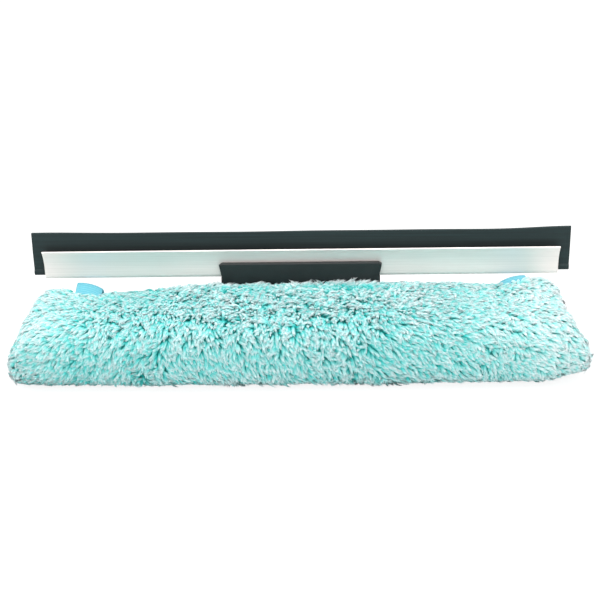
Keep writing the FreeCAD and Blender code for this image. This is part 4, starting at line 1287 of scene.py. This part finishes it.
@dataclass
class Squeegee:
    """The squeegee: rubber in an aluminium channel, held by the clip plate and the bracket."""

    bead_radius: float = 2.5
    bead_half_height: float = 2.0
    half_thickness: float = 1.5
    half_tip: float = 1.0
    taper_height: float = 12.0
    edge_round: float = 0.25
    held_height: float = 10.0
    right_curl: float = 1.4
    left_curl: float = 0.6
    curl_length: float = 75.0
    wave: float = 0.35
    wave_length: float = 31.0
    ripple_share: float = 0.6
    ripple_length: float = 13.0
    ripple_phase: float = 1.0
    bead_points: int = 7
    stations: int = 120

    def rubber(self, finish: Material) -> Object:
        """Makes the rubber, whose free edge waves a little and whose ends curl up.

        Args:
            finish: The rubber's finish.

        Returns:
            The rubber, which stands for the frame's blade.
        """
        low, high = corners_of("rubber_blade")
        middle = (low[1] + high[1]) / 2
        turn = np.linspace(-1, 1, self.bead_points) * math.asin(self.bead_half_height / self.bead_radius)
        bead_y = self.half_thickness + self.bead_radius * (np.cos(turn) - math.cos(turn[0]))
        bead_z = low[2] + self.bead_half_height * (1 + np.sin(turn) / math.sin(turn[-1]))
        edge_y = [self.half_thickness, self.half_tip, self.half_tip - self.edge_round]
        edge_z = [high[2] - self.taper_height, high[2] - self.edge_round, high[2]]
        right_y, right_z = np.concatenate([bead_y, edge_y]), np.concatenate([bead_z, edge_z])
        section_y = np.concatenate([right_y, -right_y[::-1]])
        section_z = np.concatenate([right_z, right_z[::-1]])
        x = np.linspace(low[0], high[0], self.stations)[:, None]
        held = low[2] + self.held_height
        free = np.clip((section_z - held) / (high[2] - held), 0, 1)[None]
        curl = self.right_curl * smooth_step(high[0] - self.curl_length, high[0], x) ** 2
        curl = curl + self.left_curl * smooth_step(low[0] + self.curl_length, low[0], x) ** 2
        ripple = self.ripple_share * np.sin(x / self.ripple_length + self.ripple_phase)
        sway = self.wave * (np.sin(x / self.wave_length) + ripple)
        rings = np.stack(np.broadcast_arrays(x, middle + section_y[None] + sway * free ** 2,
                                             section_z[None] + curl * free), axis=-1)
        piece = mesh_piece("rubber_run", rings.reshape(-1, 3), loft(rings), finish)
        piece.data.shade_flat()
        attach(piece, "head")
        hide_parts("rubber_blade")
        return piece


@dataclass(frozen=True)
class PhotoView:
    """The photograph's camera, fitted to the blade, the channel and the clip plate."""

    azimuth: float = 1.22
    elevation: float = 22.0
    roll: float = 1.04
    distance: float = 750.0
    focal_pixels: float = 1195.0
    image_pixels: float = 600.0
    sensor: float = 36.0
    target: tuple[float, float, float] = (0.1, 0.0, 48.2)

    def place(self) -> None:
        """Adds the camera and makes it the scene's own."""
        turn, tilt, roll = (math.radians(a) for a in (self.azimuth, self.elevation, self.roll))
        axes = (Matrix.Rotation(turn, 4, "Z") @ Matrix.Rotation(math.pi / 2 - tilt, 4, "X")
                @ Matrix.Rotation(-roll, 4, "Z"))
        data = bpy.data.cameras.new("photo_camera")
        data.sensor_width = self.sensor
        data.lens = self.focal_pixels / self.image_pixels * self.sensor
        camera = add_object("photo_camera", data)
        eye = (Vector(self.target) + axes.to_3x3().col[2] * self.distance) * MM
        camera.matrix_world = Matrix.Translation(eye) @ axes
        bpy.context.scene.camera = camera


@dataclass(frozen=True)
class Lamp:
    """One soft lamp: where it stands, how wide it is, and the light that it gives at the sleeve."""

    name: str
    place: tuple[float, float, float]
    width: float
    level: float

    def add(self, target: Vector) -> None:
        """Adds the lamp, turned to the target.

        Args:
            target: What it lights, in metres.
        """
        data = bpy.data.lights.new(self.name, "AREA")
        data.size = self.width * MM
        where = Vector(self.place) * MM
        # With this power a white face at the target, turned to the lamp, is as bright as level says
        data.energy = self.level * math.pi ** 2 * (where - target).length_squared
        lamp = add_object(self.name, data)
        lamp.location = where
        lamp.rotation_euler = (target - where).to_track_quat("-Z", "Y").to_euler()


@dataclass(frozen=True)
class Studio:
    """A white studio: a floor that keeps the shadow, an even dome and five soft lamps."""

    floor_size: float = 8000.0
    floor_colour: str = "#E8EAEA"
    floor_glow: float = 0.88
    shadow_share: float = 0.2
    dome_level: float = 0.8
    lamps: tuple[Lamp, ...] = (
        Lamp("key_lamp", (-450.0, -1250.0, 950.0), 1000.0, 0.15),
        Lamp("fill_lamp", (550.0, -1250.0, 950.0), 1000.0, 0.15),
        Lamp("top_lamp", (100.0, -250.0, 1600.0), 1100.0, 0.76),
        Lamp("left_rim_lamp", (-1300.0, 450.0, 550.0), 900.0, 0.22),
        Lamp("right_rim_lamp", (1300.0, 450.0, 550.0), 900.0, 0.22),
    )

    def split(self, tree: NodeTree, output: str, lit: Node, shown: Node) -> None:
        """Ends a tree with one shader that gives light and another that is seen.

        Args:
            tree: The nodes to add to.
            output: Blender's name for the output node.
            lit: The shader that the other pieces are lit by.
            shown: The shader for camera, glossy and transmission rays.
        """
        path = add_node(tree, "ShaderNodeLightPath")
        shiny = add_node(tree, "ShaderNodeMath", {"operation": "MAXIMUM"}, {
            0: path.outputs["Is Glossy Ray"], 1: path.outputs["Is Transmission Ray"]})
        seen = add_node(tree, "ShaderNodeMath", {"operation": "MAXIMUM"}, {
            0: shiny.outputs[0], 1: path.outputs["Is Camera Ray"]})
        mix = add_node(tree, "ShaderNodeMixShader", links={
            0: seen.outputs[0], 1: lit.outputs[0], 2: shown.outputs[0]})
        add_node(tree, output, links={"Surface": mix.outputs[0]})

    def build(self) -> None:
        """Adds the world, the floor and the lamps."""
        world = bpy.data.worlds.new("studio")
        world.use_nodes = True
        tree = world.node_tree
        tree.nodes.clear()
        dome, white = (add_node(tree, "ShaderNodeBackground", {"Color": WHITE, "Strength": level})
                       for level in (self.dome_level, 1.0))
        self.split(tree, "ShaderNodeOutputWorld", dome, white)
        bpy.context.scene.world = world

        half = self.floor_size / 2
        corners = np.array([(-half, -half, 0), (half, -half, 0), (half, half, 0), (-half, half, 0)])
        paper = bpy.data.materials.new("paper_floor")
        paper.use_nodes = True
        tree = paper.node_tree
        tree.nodes.clear()
        plain = add_node(tree, "ShaderNodeBsdfDiffuse", {"Color": linear(self.floor_colour)})
        faint = add_node(tree, "ShaderNodeBsdfDiffuse", {"Color": (self.shadow_share,) * 3 + (1,)})
        glow = add_node(tree, "ShaderNodeEmission", {"Color": WHITE, "Strength": self.floor_glow})
        shown = add_node(tree, "ShaderNodeAddShader", links={0: faint.outputs[0], 1: glow.outputs[0]})
        self.split(tree, "ShaderNodeOutputMaterial", plain, shown)
        floor = mesh_piece("paper_floor", corners, [(0, 1, 2, 3)], paper)
        target = (Vector(CAD_BOX[0]) + Vector(CAD_BOX[1])) / 2
        for lamp in self.lamps:
            lamp.add(target)


# Which finish each carried-over node has
NODE_SURFACES: dict[Surface, tuple[str, ...]] = {
    Surface.PLASTIC: ("t_bar", "squeegee_bracket", "clip_plate", "handle_body", "end_collar", "clamp_knob"),
    Surface.GRIP: ("soft_grip",),
    Surface.ALUMINIUM: ("squeegee_channel",),
    Surface.ZINC: ("clip_screws", "bracket_screws", "pivot_bolt", "knob_washer"),
    Surface.NYLON: ("friction_washers",),
    Surface.BRASS: ("knob_insert",),
    Surface.FASTENER: ("closure_loop_strips", "closure_hook_strips"),
}


def dress_nodes(finishes: dict[Surface, Material]) -> None:
    """Gives each carried-over node its finish.

    Args:
        finishes: The materials by surface.
    """
    for surface, names in NODE_SURFACES.items():
        for name in names:
            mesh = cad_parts[name].data
            mesh.materials.clear()
            mesh.materials.append(finishes[surface])
            LOG.info("%s: %s", name, surface.value.name)


def main() -> None:
    """Builds and dresses the scrubber, and sets up the studio and the camera."""
    logging.basicConfig(level=logging.INFO, format="%(name)s: %(message)s")
    bpy.context.scene.view_settings.view_transform = "Standard"
    finishes = {surface: surface.value.material() for surface in Surface}
    dress_nodes(finishes)
    sleeve = PileSleeve()
    pieces = [sleeve.backing(finishes[Surface.BACKING]), *sleeve.build(finishes[Surface.PILE])]
    pieces += SlitBinding().build(finishes[Surface.TAPE], finishes[Surface.THREAD])
    pieces.append(Squeegee().rubber(finishes[Surface.RUBBER]))
    for piece in pieces:
        LOG.info("%s: %d faces", piece.name, len(piece.data.polygons))
    Studio().build()
    PhotoView().place()


if __name__ == "__main__":
    main()
